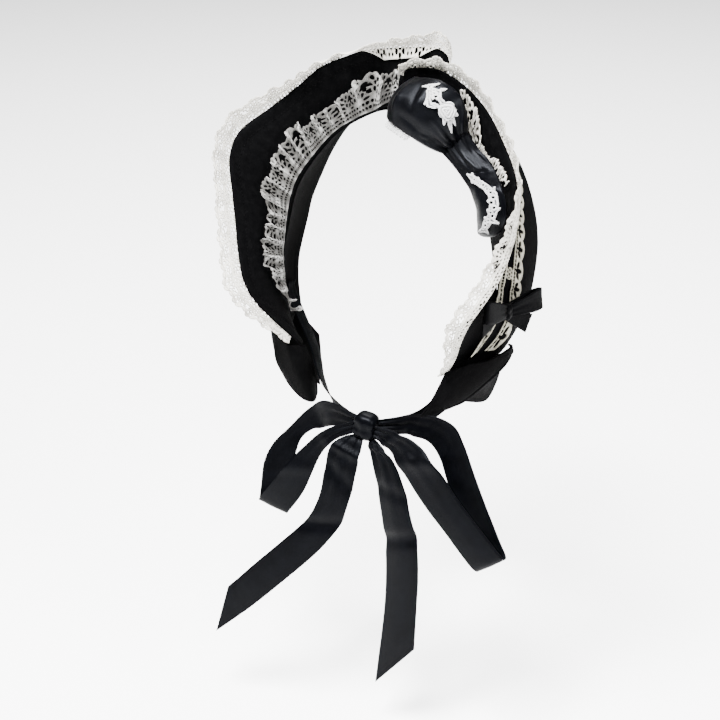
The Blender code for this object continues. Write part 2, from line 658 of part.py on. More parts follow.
# Satin bow inside the brim, with its lace
on_brim = -(CLOTH / 2 + SATIN / 2 + GAP)
puff = Wall(PUFF + [(*brim_left.at(0.14, 0.30, on_brim), *brim_left.at(0.14, 0.55, on_brim))], facing=-1.0)
drape = Wall(DRAPE + [(*brim_left.at(0.46, 0.35, on_brim), *brim_left.at(0.46, 0.55, on_brim))])
strip("satin_puff", puff, 21, SATIN, BLACK_SATIN, 4)
strip("satin_drape", drape, 16, SATIN, BLACK_SATIN, 3)
raised = SATIN / 2 + MOTIF_THICKNESS / 2 + 2 * GAP
motif("rose_motif", puff, ROSE_MOTIF, raised)
motif("leaf_motif", drape, LEAF_MOTIF, raised)
puff_lace(puff, 0.30, 0.62)

# Chin ribbon
knot = rounded_knot("chin_knot", CHIN_KNOT_CENTRE, CHIN_KNOT_SIZE, (0.0, math.radians(10), 0.0), BLACK_SATIN)
held = [
    strip("chin_loop_left", Wall(CHIN_LOOP_LEFT), 42, RIBBON, BLACK_SATIN),
    strip("chin_loop_right", Wall(CHIN_LOOP_RIGHT), 38, RIBBON, BLACK_SATIN),
    strip("chin_tail_left", Wall(CHIN_TAIL_LEFT), 20, RIBBON, BLACK_SATIN),
    strip("chin_tail_right", Wall(CHIN_TAIL_RIGHT), 22, RIBBON, BLACK_SATIN),
]
inside = -(CLOTH / 2 + RIBBON / 2 + STRAP_GAP)
for side, sign, end in (("left", 1.0, 0.985), ("right", -1.0, 0.015)):
    top = []
    for back in (0.030, 0.012):
        along = end - back * sign
        top.append((*band.at(along, 0.25, inside), *band.at(along, 0.80, inside), 0.0))
    rows = top + (STRAP_SIDE if sign > 0 else mirrored(STRAP_SIDE))
    held.append(strip(f"chin_strap_{side}", Wall(rows), 16, RIBBON, BLACK_SATIN))
cut_clear(held, knot)
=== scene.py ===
import math

import bmesh
import bpy
import numpy as np
from mathutils import Matrix, Vector


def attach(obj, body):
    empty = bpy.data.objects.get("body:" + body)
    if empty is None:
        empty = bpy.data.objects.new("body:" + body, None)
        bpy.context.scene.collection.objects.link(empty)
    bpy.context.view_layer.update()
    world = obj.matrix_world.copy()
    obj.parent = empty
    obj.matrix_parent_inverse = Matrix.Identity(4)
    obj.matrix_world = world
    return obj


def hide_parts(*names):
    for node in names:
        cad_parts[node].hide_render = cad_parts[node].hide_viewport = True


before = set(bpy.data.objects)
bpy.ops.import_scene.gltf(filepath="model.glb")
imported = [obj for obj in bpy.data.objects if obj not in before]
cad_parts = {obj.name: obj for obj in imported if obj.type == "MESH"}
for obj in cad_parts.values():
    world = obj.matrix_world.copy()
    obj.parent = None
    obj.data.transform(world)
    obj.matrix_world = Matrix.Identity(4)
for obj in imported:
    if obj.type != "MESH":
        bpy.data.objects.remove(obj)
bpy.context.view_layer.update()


# units and small helpers

seamUnits = (1000, 100)  # along, across
eyeUnits = (1000, 100, 10000)  # along, across, radius
foldUnits = (1000, 100, 1000, 100, 1000, 10000)  # from along, across, to along, across, half width, depth
partUnits = (1000, 100, 1000, 100, 10000, 10000)  # the same with a half width at each end


def table(units, *rows):  # whole numbers into shares and metres
    return [tuple(value / unit for value, unit in zip(row, units)) for row in rows]


def mm(*rows):
    return table((1000,) * 7, *rows)


def line(away, half):  # 1 on a line, fading to 0 beside it
    return np.exp(-((away / half) ** 2))


def least(*shapes):
    return np.minimum.reduce(shapes)


def fade(value, far, low):  # from low at 0 up to 1 at far
    return low + (1 - low) * np.clip(value / far, 0, 1)


def segment(x, y, fromX, fromY, toX, toY):  # how far along a straight run, and how far off it
    runX, runY = toX - fromX, toY - fromY
    share = ((x - fromX) * runX + (y - fromY) * runY) / (runX**2 + runY**2)
    near = np.clip(share, 0, 1)
    return share, np.hypot(x - fromX - runX * near, y - fromY - runY * near)


# cloth walls: each is set out between two edge lines

def through(rows, at):
    last = len(rows) - 1
    at = np.clip(np.atleast_1d(at), 0.0, last)
    i = np.minimum(at.astype(int), last - 1)
    t = (at - i)[:, None]
    longer = np.vstack([2 * rows[0] - rows[1], rows, 2 * rows[-1] - rows[-2]])
    a, b, c, d = (longer[i + step] for step in range(4))
    return 0.5 * (2 * b + (c - a) * t + (2 * a - 5 * b + 4 * c - d) * t**2 + (3 * b - a - 3 * c + d) * t**3)


def length(rows):
    return np.linalg.norm(rows, axis=-1)


class Wall:
    def __init__(self, rows, facing=1.0, belly=0.0):
        self.rows = np.array([row if len(row) == 7 else (*row, belly) for row in rows], float)
        self.facing = facing
        self.steps = np.linspace(0, len(rows) - 1, 400)
        edge = through(self.rows, self.steps)[:, 3:6]
        self.gone = np.concatenate([[0.0], np.cumsum(length(np.diff(edge, axis=0)))])
        self.length = self.gone[-1]
        self.meanWidth = float(self.width(np.linspace(0, 1, 40)).mean())

    def spot(self, along, across):
        row = through(self.rows, np.interp(along * self.length, self.gone, self.steps))
        return row[:, 0:3] + (row[:, 3:6] - row[:, 0:3]) * across[:, None], row[:, 6]

    def frame(self, along, across):  # points, unit normals, unit directions across
        along, across = np.broadcast_arrays(*(np.atleast_1d(part).astype(float) for part in (along, across)))
        point, belly = self.spot(along, across)
        ahead, behind = np.minimum(along + 0.004, 1), np.maximum(along - 0.004, 0)
        forward = self.spot(ahead, across)[0] - self.spot(behind, across)[0]
        side = self.spot(along, across + 0.5)[0] - self.spot(along, across - 0.5)[0]
        normal = np.cross(forward, side)
        normal *= self.facing / length(normal)[:, None]
        inside = np.clip(across, 0, 1)
        bulge = belly * 4 * inside * (1 - inside)
        return point + normal * bulge[:, None], normal, side / length(side)[:, None]

    def width(self, along):
        along = np.atleast_1d(along).astype(float)
        return length(self.spot(along, np.ones_like(along))[0] - self.spot(along, np.zeros_like(along))[0])

    def at(self, along, across, off=0.0):
        point, normal, _ = self.frame(along, across)
        return point + normal * np.atleast_1d(off)[:, None]


def mirrored(rows):
    return [tuple(-value if i in (0, 3) else value for i, value in enumerate(row)) for row in rows]


def wander(x, seed):  # a smooth uneven line, about -1 to 1, that comes out the same each time
    parts = ((1.00, 0.5), (1.73, 0.27), (2.91, 0.17), (4.37, 0.1))
    return sum(size * np.sin(rate * x + seed * (3.1 + 1.7 * k)) for k, (rate, size) in enumerate(parts))


# materials

class Finish:
    def __init__(self, name, color, roughness, **sockets):
        self.made = bpy.data.materials.new(name)
        self.made.use_nodes = True
        self.tree = self.made.node_tree
        self.shader = self.tree.nodes["Principled BSDF"]
        self.shader.inputs["Base Color"].default_value = (*color, 1)
        self.shader.inputs["Roughness"].default_value = roughness
        for socket, value in sockets.items():
            self.shader.inputs[socket.replace("_", " ")].default_value = value

    def put(self, socket, value):
        if isinstance(value, bpy.types.NodeSocket):
            self.tree.links.new(value, socket)
        else:
            socket.default_value = value

    def node(self, kind, inputs={}, **settings):
        made = self.tree.nodes.new(kind)
        for key, value in settings.items():
            setattr(made, key, value)
        for key, value in inputs.items():
            self.put(made.inputs[key], value)
        return made

    def flat(self):  # metres along and across the cloth
        return self.node("ShaderNodeUVMap", uv_map="flat").outputs["UV"]

    def threads(self, where, pitch, direction, twist=0.0):
        settings = {"Vector": where, "Scale": 0.314 / pitch, "Distortion": twist, "Detail": 1.0}
        return self.node("ShaderNodeTexWave", settings, bands_direction=direction).outputs["Fac"]

    def cloud(self, where, size, detail=3.0):
        inputs = {"Vector": where, "Scale": 1 / size, "Detail": detail}
        return self.node("ShaderNodeTexNoise", inputs).outputs["Fac"]

    def mixed(self, how, a, b, share=0.5):
        made = self.node("ShaderNodeMath", operation=how)
        for socket, value in zip(made.inputs, (a, b, share)):
            self.put(socket, value)
        return made.outputs[0]

    def tint(self, share, *stops):  # stops are (place, color)
        ramp = self.node("ShaderNodeValToRGB", {"Fac": share})
        for i, (place, color) in enumerate(stops):
            stop = ramp.color_ramp.elements[i] if i < 2 else ramp.color_ramp.elements.new(place)
            stop.position, stop.color = place, (*color, 1)
        self.put(self.shader.inputs["Base Color"], ramp.outputs["Color"])

    def gloss(self, share, low, high):
        spread = self.node("ShaderNodeMapRange", {"Value": share, "To Min": low, "To Max": high})
        self.put(self.shader.inputs["Roughness"], spread.outputs["Result"])

    def relief(self, height, depth, strength):
        bump = self.node("ShaderNodeBump", {"Height": height, "Distance": depth, "Strength": strength})
        self.put(self.shader.inputs["Normal"], bump.outputs["Normal"])
        return self.made


def wovenBlack():
    made = Finish("black_cloth_woven", (0.0012, 0.0012, 0.0013), 0.9, Specular_IOR_Level=0.012)
    flat = made.flat()
    weft, warp = made.threads(flat, 0.00055, "X", 0.4), made.threads(flat, 0.00055, "Y", 0.4)
    weave = made.mixed("MULTIPLY", weft, warp)
    lint = made.cloud(flat, 0.006, 5.0)
    made.tint(made.mixed("MULTIPLY_ADD", weave, 0.35, lint), (0.35, (0.0004, 0.0004, 0.0005)),
              (0.75, (0.0011, 0.0011, 0.0012)), (1.0, (0.0024, 0.0024, 0.0026)))
    made.gloss(lint, 0.72, 0.95)
    return made.relief(weave, 0.00018, 0.7)


def satinBlack(name, shine, low, high):
    made = Finish(name, (0.0008, 0.0009, 0.0013), 0.3, Specular_IOR_Level=shine,
                  Specular_Tint=(0.86, 0.9, 1.0, 1), Anisotropic=0.4)
    flat = made.flat()
    floats = made.threads(flat, 0.00042, "Y", 0.6)
    drawnOut = made.node("ShaderNodeMapping", {"Vector": flat, "Scale": (20, 900, 1)}).outputs["Vector"]
    slubs = made.cloud(drawnOut, 1.0)
    soft = made.cloud(flat, 0.012)
    made.tint(soft, (0.3, (0.0003, 0.00033, 0.0005)), (0.75, (0.0008, 0.0009, 0.0013)))
    made.gloss(made.mixed("MULTIPLY_ADD", slubs, 0.5, soft), low, high)
    return made.relief(made.mixed("MULTIPLY_ADD", slubs, 0.6, floats), 0.0001, 0.45)


def ribbonBlack():
    made = Finish("black_ribbon_ribbed", (0.0009, 0.0009, 0.0011), 0.5, Specular_IOR_Level=0.013)
    flat = made.flat()
    ribs = made.threads(flat, 0.0007, "X", 0.2)
    soft = made.cloud(flat, 0.008)
    made.tint(made.mixed("MULTIPLY_ADD", ribs, 0.3, soft), (0.3, (0.0004, 0.0004, 0.0005)),
              (0.9, (0.0013, 0.0013, 0.0016)))
    made.gloss(soft, 0.42, 0.62)
    return made.relief(ribs, 0.00016, 0.6)


def cotton(name, light, dark, pitch):
    made = Finish(name, light, 0.9, Sheen_Weight=0.05, Sheen_Roughness=0.6, Specular_IOR_Level=0.15)
    flat = made.flat()
    across, along = made.threads(flat, pitch, "X", 2.5), made.threads(flat, pitch * 1.1, "DIAGONAL", 2.0)
    yarn = made.mixed("MAXIMUM", across, along)
    aged = made.cloud(flat, 0.011, 4.0)
    # painted shade: each piece's shade attribute darkens the lace colour where shade would fall
    paintedShade = made.node("ShaderNodeAttribute", attribute_name="shade").outputs["Fac"]
    grain = made.mixed("MULTIPLY_ADD", yarn, 0.45, made.mixed("MULTIPLY", aged, 0.9))
    made.tint(made.mixed("MULTIPLY", grain, paintedShade), (0.25, dark), (0.8, light))
    return made.relief(yarn, 0.00028, 0.8)


def threadBlack():
    made = Finish("black_sewing_thread", (0.0015, 0.0015, 0.0016), 0.7, Specular_IOR_Level=0.015)
    twist = made.threads(made.node("ShaderNodeTexCoord").outputs["Object"], 0.0004, "DIAGONAL", 0.5)
    made.tint(twist, (0.2, (0.0008, 0.0008, 0.0009)), (0.9, (0.0024, 0.0024, 0.0026)))
    return made.relief(twist, 0.0001, 0.6)


finishes = {  # material and slot
    "cloth": (wovenBlack(), "black_cloth"),
    "satin": (satinBlack("black_satin_cloth", 0.024, 0.24, 0.4), "black_satin"),
    "satinBow": (satinBlack("black_satin_draped", 0.048, 0.22, 0.36), "black_satin"),
    "satinBack": (satinBlack("black_satin_dull_side", 0.003, 0.5, 0.7), "black_satin"),
    "ribbon": (ribbonBlack(), "black_ribbon"),
    "ivory": (cotton("ivory_cotton_lace", (0.58, 0.56, 0.51), (0.16, 0.15, 0.125), 0.0008), "ivory_lace"),
    # a darker, greyer copy of the ivory lace: painted shade for the ruffle deep inside the brim
    "shadedIvory": (cotton("shaded_cotton_lace", (0.38, 0.375, 0.36), (0.06, 0.058, 0.054), 0.0008), "ivory_lace"),
    "beige": (cotton("beige_beading_lace", (0.31, 0.295, 0.24), (0.075, 0.07, 0.05), 0.0007), "ivory_lace"),
    "white": (cotton("white_guipure_lace", (0.41, 0.41, 0.41), (0.04, 0.04, 0.045), 0.0006), "white_lace"),
    "thread": (threadBlack(), "black_cloth"),
}
print("materials are ready")


# making cloth

def placed(name, data):
    made = bpy.data.objects.new(name, data)
    bpy.context.scene.collection.objects.link(made)
    return made


def settle(name, mesh, finish, nodes=()):
    data = bpy.data.meshes.new(name)
    mesh.to_mesh(data)
    mesh.free()
    data.materials.append(finishes[finish][0])
    data.shade_smooth()
    made = placed(name, data)
    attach(made, "root")
    if nodes:
        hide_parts(*nodes)
    return made


def dropScraps(mesh, fewest):  # bits of lace that hang on nothing
    left, scraps = set(mesh.faces), []
    while left:
        group = [left.pop()]
        for face in group:  # the group grows on the way
            for side in face.edges:
                more = left.intersection(side.link_faces)
                left -= more
                group += more
        if len(group) < fewest:
            scraps += group
    bmesh.ops.delete(mesh, geom=scraps, context="FACES")


def trimHoles(mesh, pattern, size, cell):  # draws the edges of the holes smooth
    near, end, far = cell / 2, size[0] - cell / 2, 0.45 * cell
    rim = [v for v in mesh.verts if v.is_boundary and near < v.co.x < end and v.co.y > near]
    if not rim:
        return
    x, y = np.array([v.co[:2] for v in rim]).T
    x0, y0, step = x.copy(), y.copy(), cell * 0.1
    for _ in range(3):
        value = pattern(x, y)
        gx = (pattern(x + step, y) - pattern(x - step, y)) / (2 * step)
        gy = (pattern(x, y + step) - pattern(x, y - step)) / (2 * step)
        steep = np.maximum(gx**2 + gy**2, 0.2)
        x, y = x - value * gx / steep, y - value * gy / steep
        x, y = x0 + np.clip(x - x0, -far, far), y0 + np.clip(y - y0, -far, far)
    for v, newX, newY in zip(rim, x, y):
        v.co.x, v.co.y = newX, newY


def cloth(name, kind, size, place, raised=None, pattern=None, shade=None):
    # size is the cloth's flat length and width; place sets flat points out in space
    mesh, cell = bmesh.new(), kind["cell"]
    counts = [max(round(side / cell), 2) for side in size]
    bmesh.ops.create_grid(mesh, x_segments=counts[0], y_segments=counts[1], size=0.5)
    bmesh.ops.translate(mesh, vec=(0.5, 0.5, 0), verts=mesh.verts)
    bmesh.ops.scale(mesh, vec=(*size, 1), verts=mesh.verts)
    if pattern:
        middles = np.array([face.calc_center_median()[:2] for face in mesh.faces])
        gone = pattern(*middles.T) < 0
        bmesh.ops.delete(mesh, geom=[f for f, out in zip(mesh.faces, gone) if out], context="FACES")
        dropScraps(mesh, 30)
        trimHoles(mesh, pattern, size, cell)
    area = sum(face.calc_area() for face in mesh.faces)
    made = settle("fine_" + name, mesh, kind["finish"], [name])
    data = made.data
    spots = np.empty(len(data.vertices) * 3, np.float32)
    data.vertices.foreach_get("co", spots)
    x, y, _ = np.array(spots.reshape(-1, 3).T, float, order="C")
    points, normals = place(x, y)
    if raised:
        points = points + normals * raised(x, y)[:, None]
    corners = np.empty(len(data.loops), np.int32)
    data.loops.foreach_get("vertex_index", corners)
    layer = data.uv_layers.new(name="flat")
    layer.data.foreach_set("uv", np.stack([x[corners], y[corners]], 1).astype(np.float32).ravel())
    data.vertices.foreach_set("co", points.astype(np.float32).ravel())
    data.update()
    # painted shade kept per point; 1 where a piece paints none
    tones = shade(x, y) if shade else np.ones_like(x)
    data.attributes.new("shade", "FLOAT", "POINT").data.foreach_set("value", tones.astype(np.float32))
    wall = made.modifiers.new("Thickness", "SOLIDIFY")
    wall.thickness = kind["thickness"]
    wall.offset = 0.0
    return made, area


def softCloth(name, kind, size, place, raised=None, pattern=None, shade=None):
    made, area = cloth(name, kind, size, place, raised, pattern, shade)


def onWall(wall, low=0.0):  # a cloth's flat size and its place on a whole wall, or above a lower edge
    size = (wall.length, (1 - low) * wall.meanWidth)
    return size, lambda x, y: wall.frame(x / size[0], low + (1 - low) * y / size[1])[:2]


stitch = {"size": (0.0022, 0.0006, 0.0004), "every": 0.0032, "sunk": 0.0001}


def stitches(name, wall, alongs, across, offs):  # short stitches along a line on a wall, on each side in offs
    mesh = bmesh.new()
    run = length(np.diff(wall.at(alongs, across), axis=0)).sum()
    steps = np.linspace(0, 1, max(int(run / stitch["every"]), 2))
    spots = np.interp(steps, np.linspace(0, 1, len(alongs)), alongs)
    where = np.interp(spots, alongs, across)
    for off in offs:
        point, normal, side = wall.frame(spots, where)
        for p, f, n in zip(point + normal * off, np.cross(side, normal), normal):
            turn = Matrix([Vector(way).normalized() for way in (f, np.cross(n, f), n)]).transposed().to_4x4()
            place = Matrix.Translation(Vector(p)) @ turn @ Matrix.Diagonal((*stitch["size"], 1))
            bmesh.ops.create_uvsphere(mesh, u_segments=6, v_segments=4, radius=0.5, matrix=place)
    settle(name, mesh, "thread")


# lace patterns, in metres along and across: above 0 is thread, below 0 is a hole

def hole(x, y, atX, atY, sizeX, sizeY=None, turn=0.0):
    sizeY = sizeY or sizeX
    dx, dy = x - atX, y - atY
    if turn:
        dx, dy = dx * math.cos(turn) + dy * math.sin(turn), dy * math.cos(turn) - dx * math.sin(turn)
    return (np.hypot(dx / sizeX, dy / sizeY) - 1) * min(sizeX, sizeY)


def netting(x, y, low, high, pitch, size, period=0.0, smallest=0.5):
    # staggered rows of small holes between two heights; with a period they shrink under each scallop's middle
    rows = max(round((high - low) / (pitch * 0.8)), 1)
    out = []
    if period:
        size = size * (smallest + (1 - smallest) * np.cos(math.pi * x / period) ** 2)
    for row in range(rows):
        middle = low + (high - low) * (row + 0.5) / rows
        shift = (x / pitch + 0.5 * (row % 2) + 0.07 * wander(x / 0.011, row)) % 1.0 - 0.5
        out.append(np.hypot(shift * pitch, y - middle) - size)
    return least(*out)


def fan(x, y, pitch, base, reach, count, size, spread=1.25):  # holes set out like a fan in each scallop
    local, out = (x % pitch) - pitch / 2, []
    for k in range(count):
        angle = spread * (2 * k / (count - 1) - 1)
        atX, atY = reach * math.sin(angle), base + reach * math.cos(angle)
        out.append(hole(local, y, atX, atY, size * 0.62, size, -angle))
    return least(*out)


def cluster(x, y, pitch, atY, ring, size, count=5):  # a ring of larger holes between two scallops
    local = (x + pitch / 2) % pitch - pitch / 2
    out = [hole(local, y, 0, atY, size)]
    for k in range(count):
        angle = math.tau * (k + 0.5) / count
        out.append(hole(local, y, ring * math.cos(angle), atY + ring * math.sin(angle), size))
    return least(*out)


def scallopEdge(x, pitch, high, depth, picot=0.0, picots=0.004):
    rounded = np.abs(np.sin(np.pi * x / pitch)) ** 0.7
    return high - depth * (1 - rounded) - picot * (1 - np.abs(np.sin(np.pi * x / picots)) ** 0.6)


# brim and band

brim = {
    "thickness": 0.0018, "cell": 0.0022, "finish": "cloth",
    "binding": 0.0095,  # from the edge to the sewn line
    "side": mm(
        (78, -25, -58, 104, -43, -6), (85, -28, -71, 122, -62, -23), (90, -30, -86, 128, -70, -45),
        (94, -31, -103, 125, -72, -75), (97, -32, -120, 119, -78, -100), (99, -33, -136, 112, -87, -118),
        (98, -35, -152, 101, -98, -138), (94, -40, -168, 92, -95, -157), (87, -47, -185, 81, -80, -180),
        (76, -56, -203, 66, -63, -205)),
    "leftTop": mm(
        (9, -14, -3, 9, -23, 27), (10, -14, -3, 13, -27, 37), (16, -14, -5, 24, -28, 40),
        (30, -14, -11, 41, -30, 41), (46, -15, -21, 59, -33, 36), (58, -18, -31, 74, -33, 26),
        (69, -21, -44, 88, -34, 12)),
    "rightTop": mm(
        (26, 10, 5.5, 28, 21, 33), (24, 8, 6, 26, 19, 41), (18, 3, 6, 20, 13, 47), (8, -3, 5.5, 10, 4, 48),
        (-3, -9, 3.5, -4, -6, 48), (-12, -13, 0, -15, -14, 48), (-22, -14, -7, -25, -27, 48),
        (-34, -14, -13, -38, -32, 43), (-54, -17, -27, -62, -33, 31), (-68, -20, -43, -85, -32, 11)),
}
band = {
    "thickness": 0.0018, "cell": 0.0025, "finish": "cloth", "belly": 0.0055,
    "side": mm(
        (12, -14, -3, 16, 50, -4), (34, -14, -13, 48, 48, -18), (54, -17, -27, 74, 46, -38),
        (68, -20, -43, 90, 43, -62), (78, -25, -58, 101, 39, -88), (85, -28, -71, 107, 33, -108),
        (90, -30, -86, 109, 28, -125), (97, -32, -120, 110, 18, -146), (99, -33, -136, 109, 10, -160),
        (94, -40, -168, 105, 2, -178), (76, -56, -203, 98, -7, -195)),
}
leftBrim = Wall(brim["leftTop"] + brim["side"], -1.0, -0.002)
rightBrim = Wall(brim["rightTop"] + mirrored(brim["side"]), 1.0, -0.002)
bandWall = Wall(mirrored(band["side"])[::-1] + band["side"], 1.0, band["belly"])


def brimPanel(name, wall, seed):
    size, place = onWall(wall, low=0.02)

    def raised(x, y):  # a bound edge, a sewn groove and a little unevenness
        width = wall.width(x / size[0])
        fromEdge = (1 - (0.02 + 0.98 * y / size[1])) * width
        groove = -0.0009 * line(fromEdge - brim["binding"], 0.0017)
        puckers = 0.00018 * np.sin(math.tau * x / 0.006) * line(fromEdge - brim["binding"], 0.004)
        soft = 0.0005 * wander(x / 0.045, seed) * np.sin(np.clip(y / size[1], 0, 1) * math.pi)
        return (groove + puckers) * wall.facing * -1 + soft

    cloth(name, brim, size, place, raised)


for name, wall, seed in (("brim_left", leftBrim, 1.3), ("brim_right", rightBrim, 2.7)):
    brimPanel(name, wall, seed)
    alongs = np.linspace(0.03, 0.97, 60)
    off = brim["thickness"] / 2 - stitch["sunk"]
    stitches(name + "_stitches", wall, alongs, 1 - brim["binding"] / wall.width(alongs), (-off, off))

size, place = onWall(bandWall, low=0.022)


def bandRelief(x, y):
    across = y / size[1]
    hem = 0.0003 * (line(across - 0.93, 0.02) + line(across - 0.05, 0.02))
    return 0.0004 * wander(x / 0.05, 0.4) * np.sin(math.pi * np.clip(across, 0, 1)) - hem


cloth("band", band, size, place, bandRelief)
alongs = np.linspace(0.02, 0.98, 80)
inner = 1 - 0.004 / bandWall.width(alongs)
stitches("band_stitches", bandWall, alongs, inner, (band["thickness"] / 2 - stitch["sunk"],))
print("brim and band are made")


# edge lace

edgeLace = {
    "scallop": 0.0165, "depth": 0.0012, "picot": 0.0024, "sewn": 0.005, "free": 0.019,
    "cell": 0.00058, "thickness": 0.0008, "finish": "ivory", "ripple": 0.0018, "lift": 0.0014,
    "straight": 0.0015,  # what stands straight off the brim before the lace leans
    # along the brim, lean towards the face in degrees, mm sewn on, side (1 outside), mm free
    "usual": (5, 1, 19),  # the last three where a row leaves them out
    "left": [
        (0, 55, 5, 1, 12), (0.05, 50), (0.1, 40), (0.15, 30), (0.2, 26), (0.3, 30), (0.36, 20), (0.45, 22),
        (0.53, 40), (0.6, 60), (0.65, 64), (0.72, 54), (0.8, 38), (0.86, 5, 5, 1, 18), (1, -5, 3, 1, 6),
    ],
    "right": [
        (0, 10, 1, -1, 6), (0.045, 12, 1, -1, 14), (0.08, 35, 8, -1, 13), (0.15, 58, 9, -1, 13),
        (0.19, 62, -1, -1, 15), (0.23, 65, -1, 1, 17), (0.27, 70), (0.32, 70), (0.4, 45), (0.46, 28),
        (0.6, 15), (0.7, 0), (0.8, -20), (0.88, -12), (1, 0, 3, 1, 8),
    ],
}


def edgePattern(x, y):
    pitch, high = edgeLace["scallop"], edgeLace["sewn"] + edgeLace["free"]
    return least(
        scallopEdge(x, pitch, high, edgeLace["depth"], edgeLace["picot"], pitch / 3) - y,
        netting(x + pitch / 2, y, 0.0006, 0.0112, 0.0031, 0.00088, pitch, 0.3),
        cluster(x, y, pitch, 0.0046, 0.0032, 0.0012, 6),
        fan(x, y, pitch, 0.0115, 0.0075, 6, 0.0015, 1.3),
        fan(x, y, pitch, 0.0115, 0.004, 4, 0.0012, 1.1),
        cluster(x, y, pitch, 0.016, 0.0027, 0.0011))


def edgeLacePiece(name, wall, rows, end, seed):
    columns = np.array(table((1, 1, 1000, 1, 1000), *((*row, *edgeLace["usual"])[:5] for row in rows))).T
    high = edgeLace["sewn"] + edgeLace["free"]
    size = (wall.length * end, high)
    count = round(size[0] / edgeLace["scallop"])
    fit = count * edgeLace["scallop"] / size[0]
    lift, stands = brim["thickness"] / 2 + edgeLace["lift"], edgeLace["straight"]

    def place(x, y):
        along = x / wall.length
        lean, sewn, outside, reach = (np.interp(along, columns[0], column) for column in columns[1:])
        fromEdge = np.clip(1 - y / edgeLace["sewn"], 0, 1)
        free = np.clip((y - edgeLace["sewn"]) / edgeLace["free"], 0, 1) * (reach - stands)
        across = 1 - fromEdge * sewn / wall.width(along)
        point, normal, side = wall.frame(along, across)
        straight = stands * (1 - fromEdge)
        angle = np.radians(lean) * free / (free + 0.0008)
        leaning = side * np.cos(angle)[:, None] - normal * np.sin(angle)[:, None]
        facing = normal * np.cos(angle)[:, None] + side * np.sin(angle)[:, None]
        ripples = np.sin(math.tau * x / 0.0185 + 1.8 * wander(x / 0.03, seed))
        wave = edgeLace["ripple"] * (free / edgeLace["free"]) * (ripples + 0.25 * wander(x / 0.009, seed + 2))
        out = free * (1 + 0.05 * wander(x / 0.02, seed + 5))
        spread = side * straight[:, None] + leaning * out[:, None]
        return point + normal * (outside * lift)[:, None] + spread + facing * wave[:, None], facing

    def pattern(x, y):
        return edgePattern(x * fit, y)

    def fromRim(x, y):
        return scallopEdge(x * fit, edgeLace["scallop"], high, edgeLace["depth"]) - y

    def raised(x, y):  # corded rims round the scallops and the fans
        edge = fromRim(x, y)
        cords = line(edge - 0.001, 0.0007) + 0.8 * line(edge - 0.0034, 0.0006)
        return 0.0004 * cords + 0.0002 * line(y - 0.0112, 0.0006)

    def shade(x, y):  # painted shade beside the holes and the cords
        near = fade(pattern(x, y), 0.0007, 0.62)
        return near * (1 - 0.4 * line(fromRim(x, y) - 0.0024, 0.0005)) * (1 - 0.35 * line(y - 0.0104, 0.0005))

    softCloth(name, edgeLace, size, place, raised, pattern, shade)


edgeLacePiece("edge_lace_left", leftBrim, edgeLace["left"], 0.985, 0.7)
edgeLacePiece("edge_lace_right", rightBrim, edgeLace["right"], 0.97, 2.2)
print("edge lace is sewn on")


# gathered lace inside the brim

innerLace = {
    "width": 0.03, "pitch": 0.0155, "scallop": 0.012, "depth": 0.0022, "picot": 0.0017,
    "cell": 0.0007, "thickness": 0.0007,
    "full": 1.6,  # its flat length for each length of seam
    "lean": 0.0042,
    "deep": 0.004,  # gathers as deep as this lean fully and take the full painted shade
    # along the brim, and across its face from the headline: the seam, then the lace's edge
    "seamLeft": table(seamUnits,
        (180, 76), (206, 70), (225, 56), (250, 50), (277, 40), (304, 36), (354, 42), (388, 52), (430, 60)),
    "edgeLeft": table(seamUnits,
        (180, 100), (206, 104), (225, 100), (240, 94), (252, 88), (269, 78), (285, 70), (317, 72), (354, 82),
        (375, 92), (406, 96), (430, 100)),
    "seamRight": table(seamUnits,
        (110, 7), (915, 7)),
    "edgeRight": table(seamUnits,
        (109, 60), (129, 69), (169, 55), (189, 80), (212, 64), (256, 50), (299, 51), (347, 49), (410, 65),
        (446, 62), (517, 48), (584, 59), (648, 48), (731, 67), (786, 68), (830, 55), (897, 31), (915, 24)),
}


def innerPattern(x, y):
    pitch, high = innerLace["scallop"], innerLace["width"]
    return least(
        scallopEdge(x, pitch, high, innerLace["depth"], innerLace["picot"], pitch / 3) - y,
        netting(x, y, 0.0018, 0.0104, 0.0043, 0.00175, pitch, 0.8),
        fan(x, y, pitch, 0.0118, 0.0056, 5, 0.0021, 1.5),
        fan(x, y, pitch, 0.017, 0.0085, 6, 0.0019, 1.15),
        fan(x, y, pitch, 0.0185, 0.0036, 3, 0.0016, 1.0),
        cluster(x, y, pitch, 0.019, 0.003, 0.0013, 4))


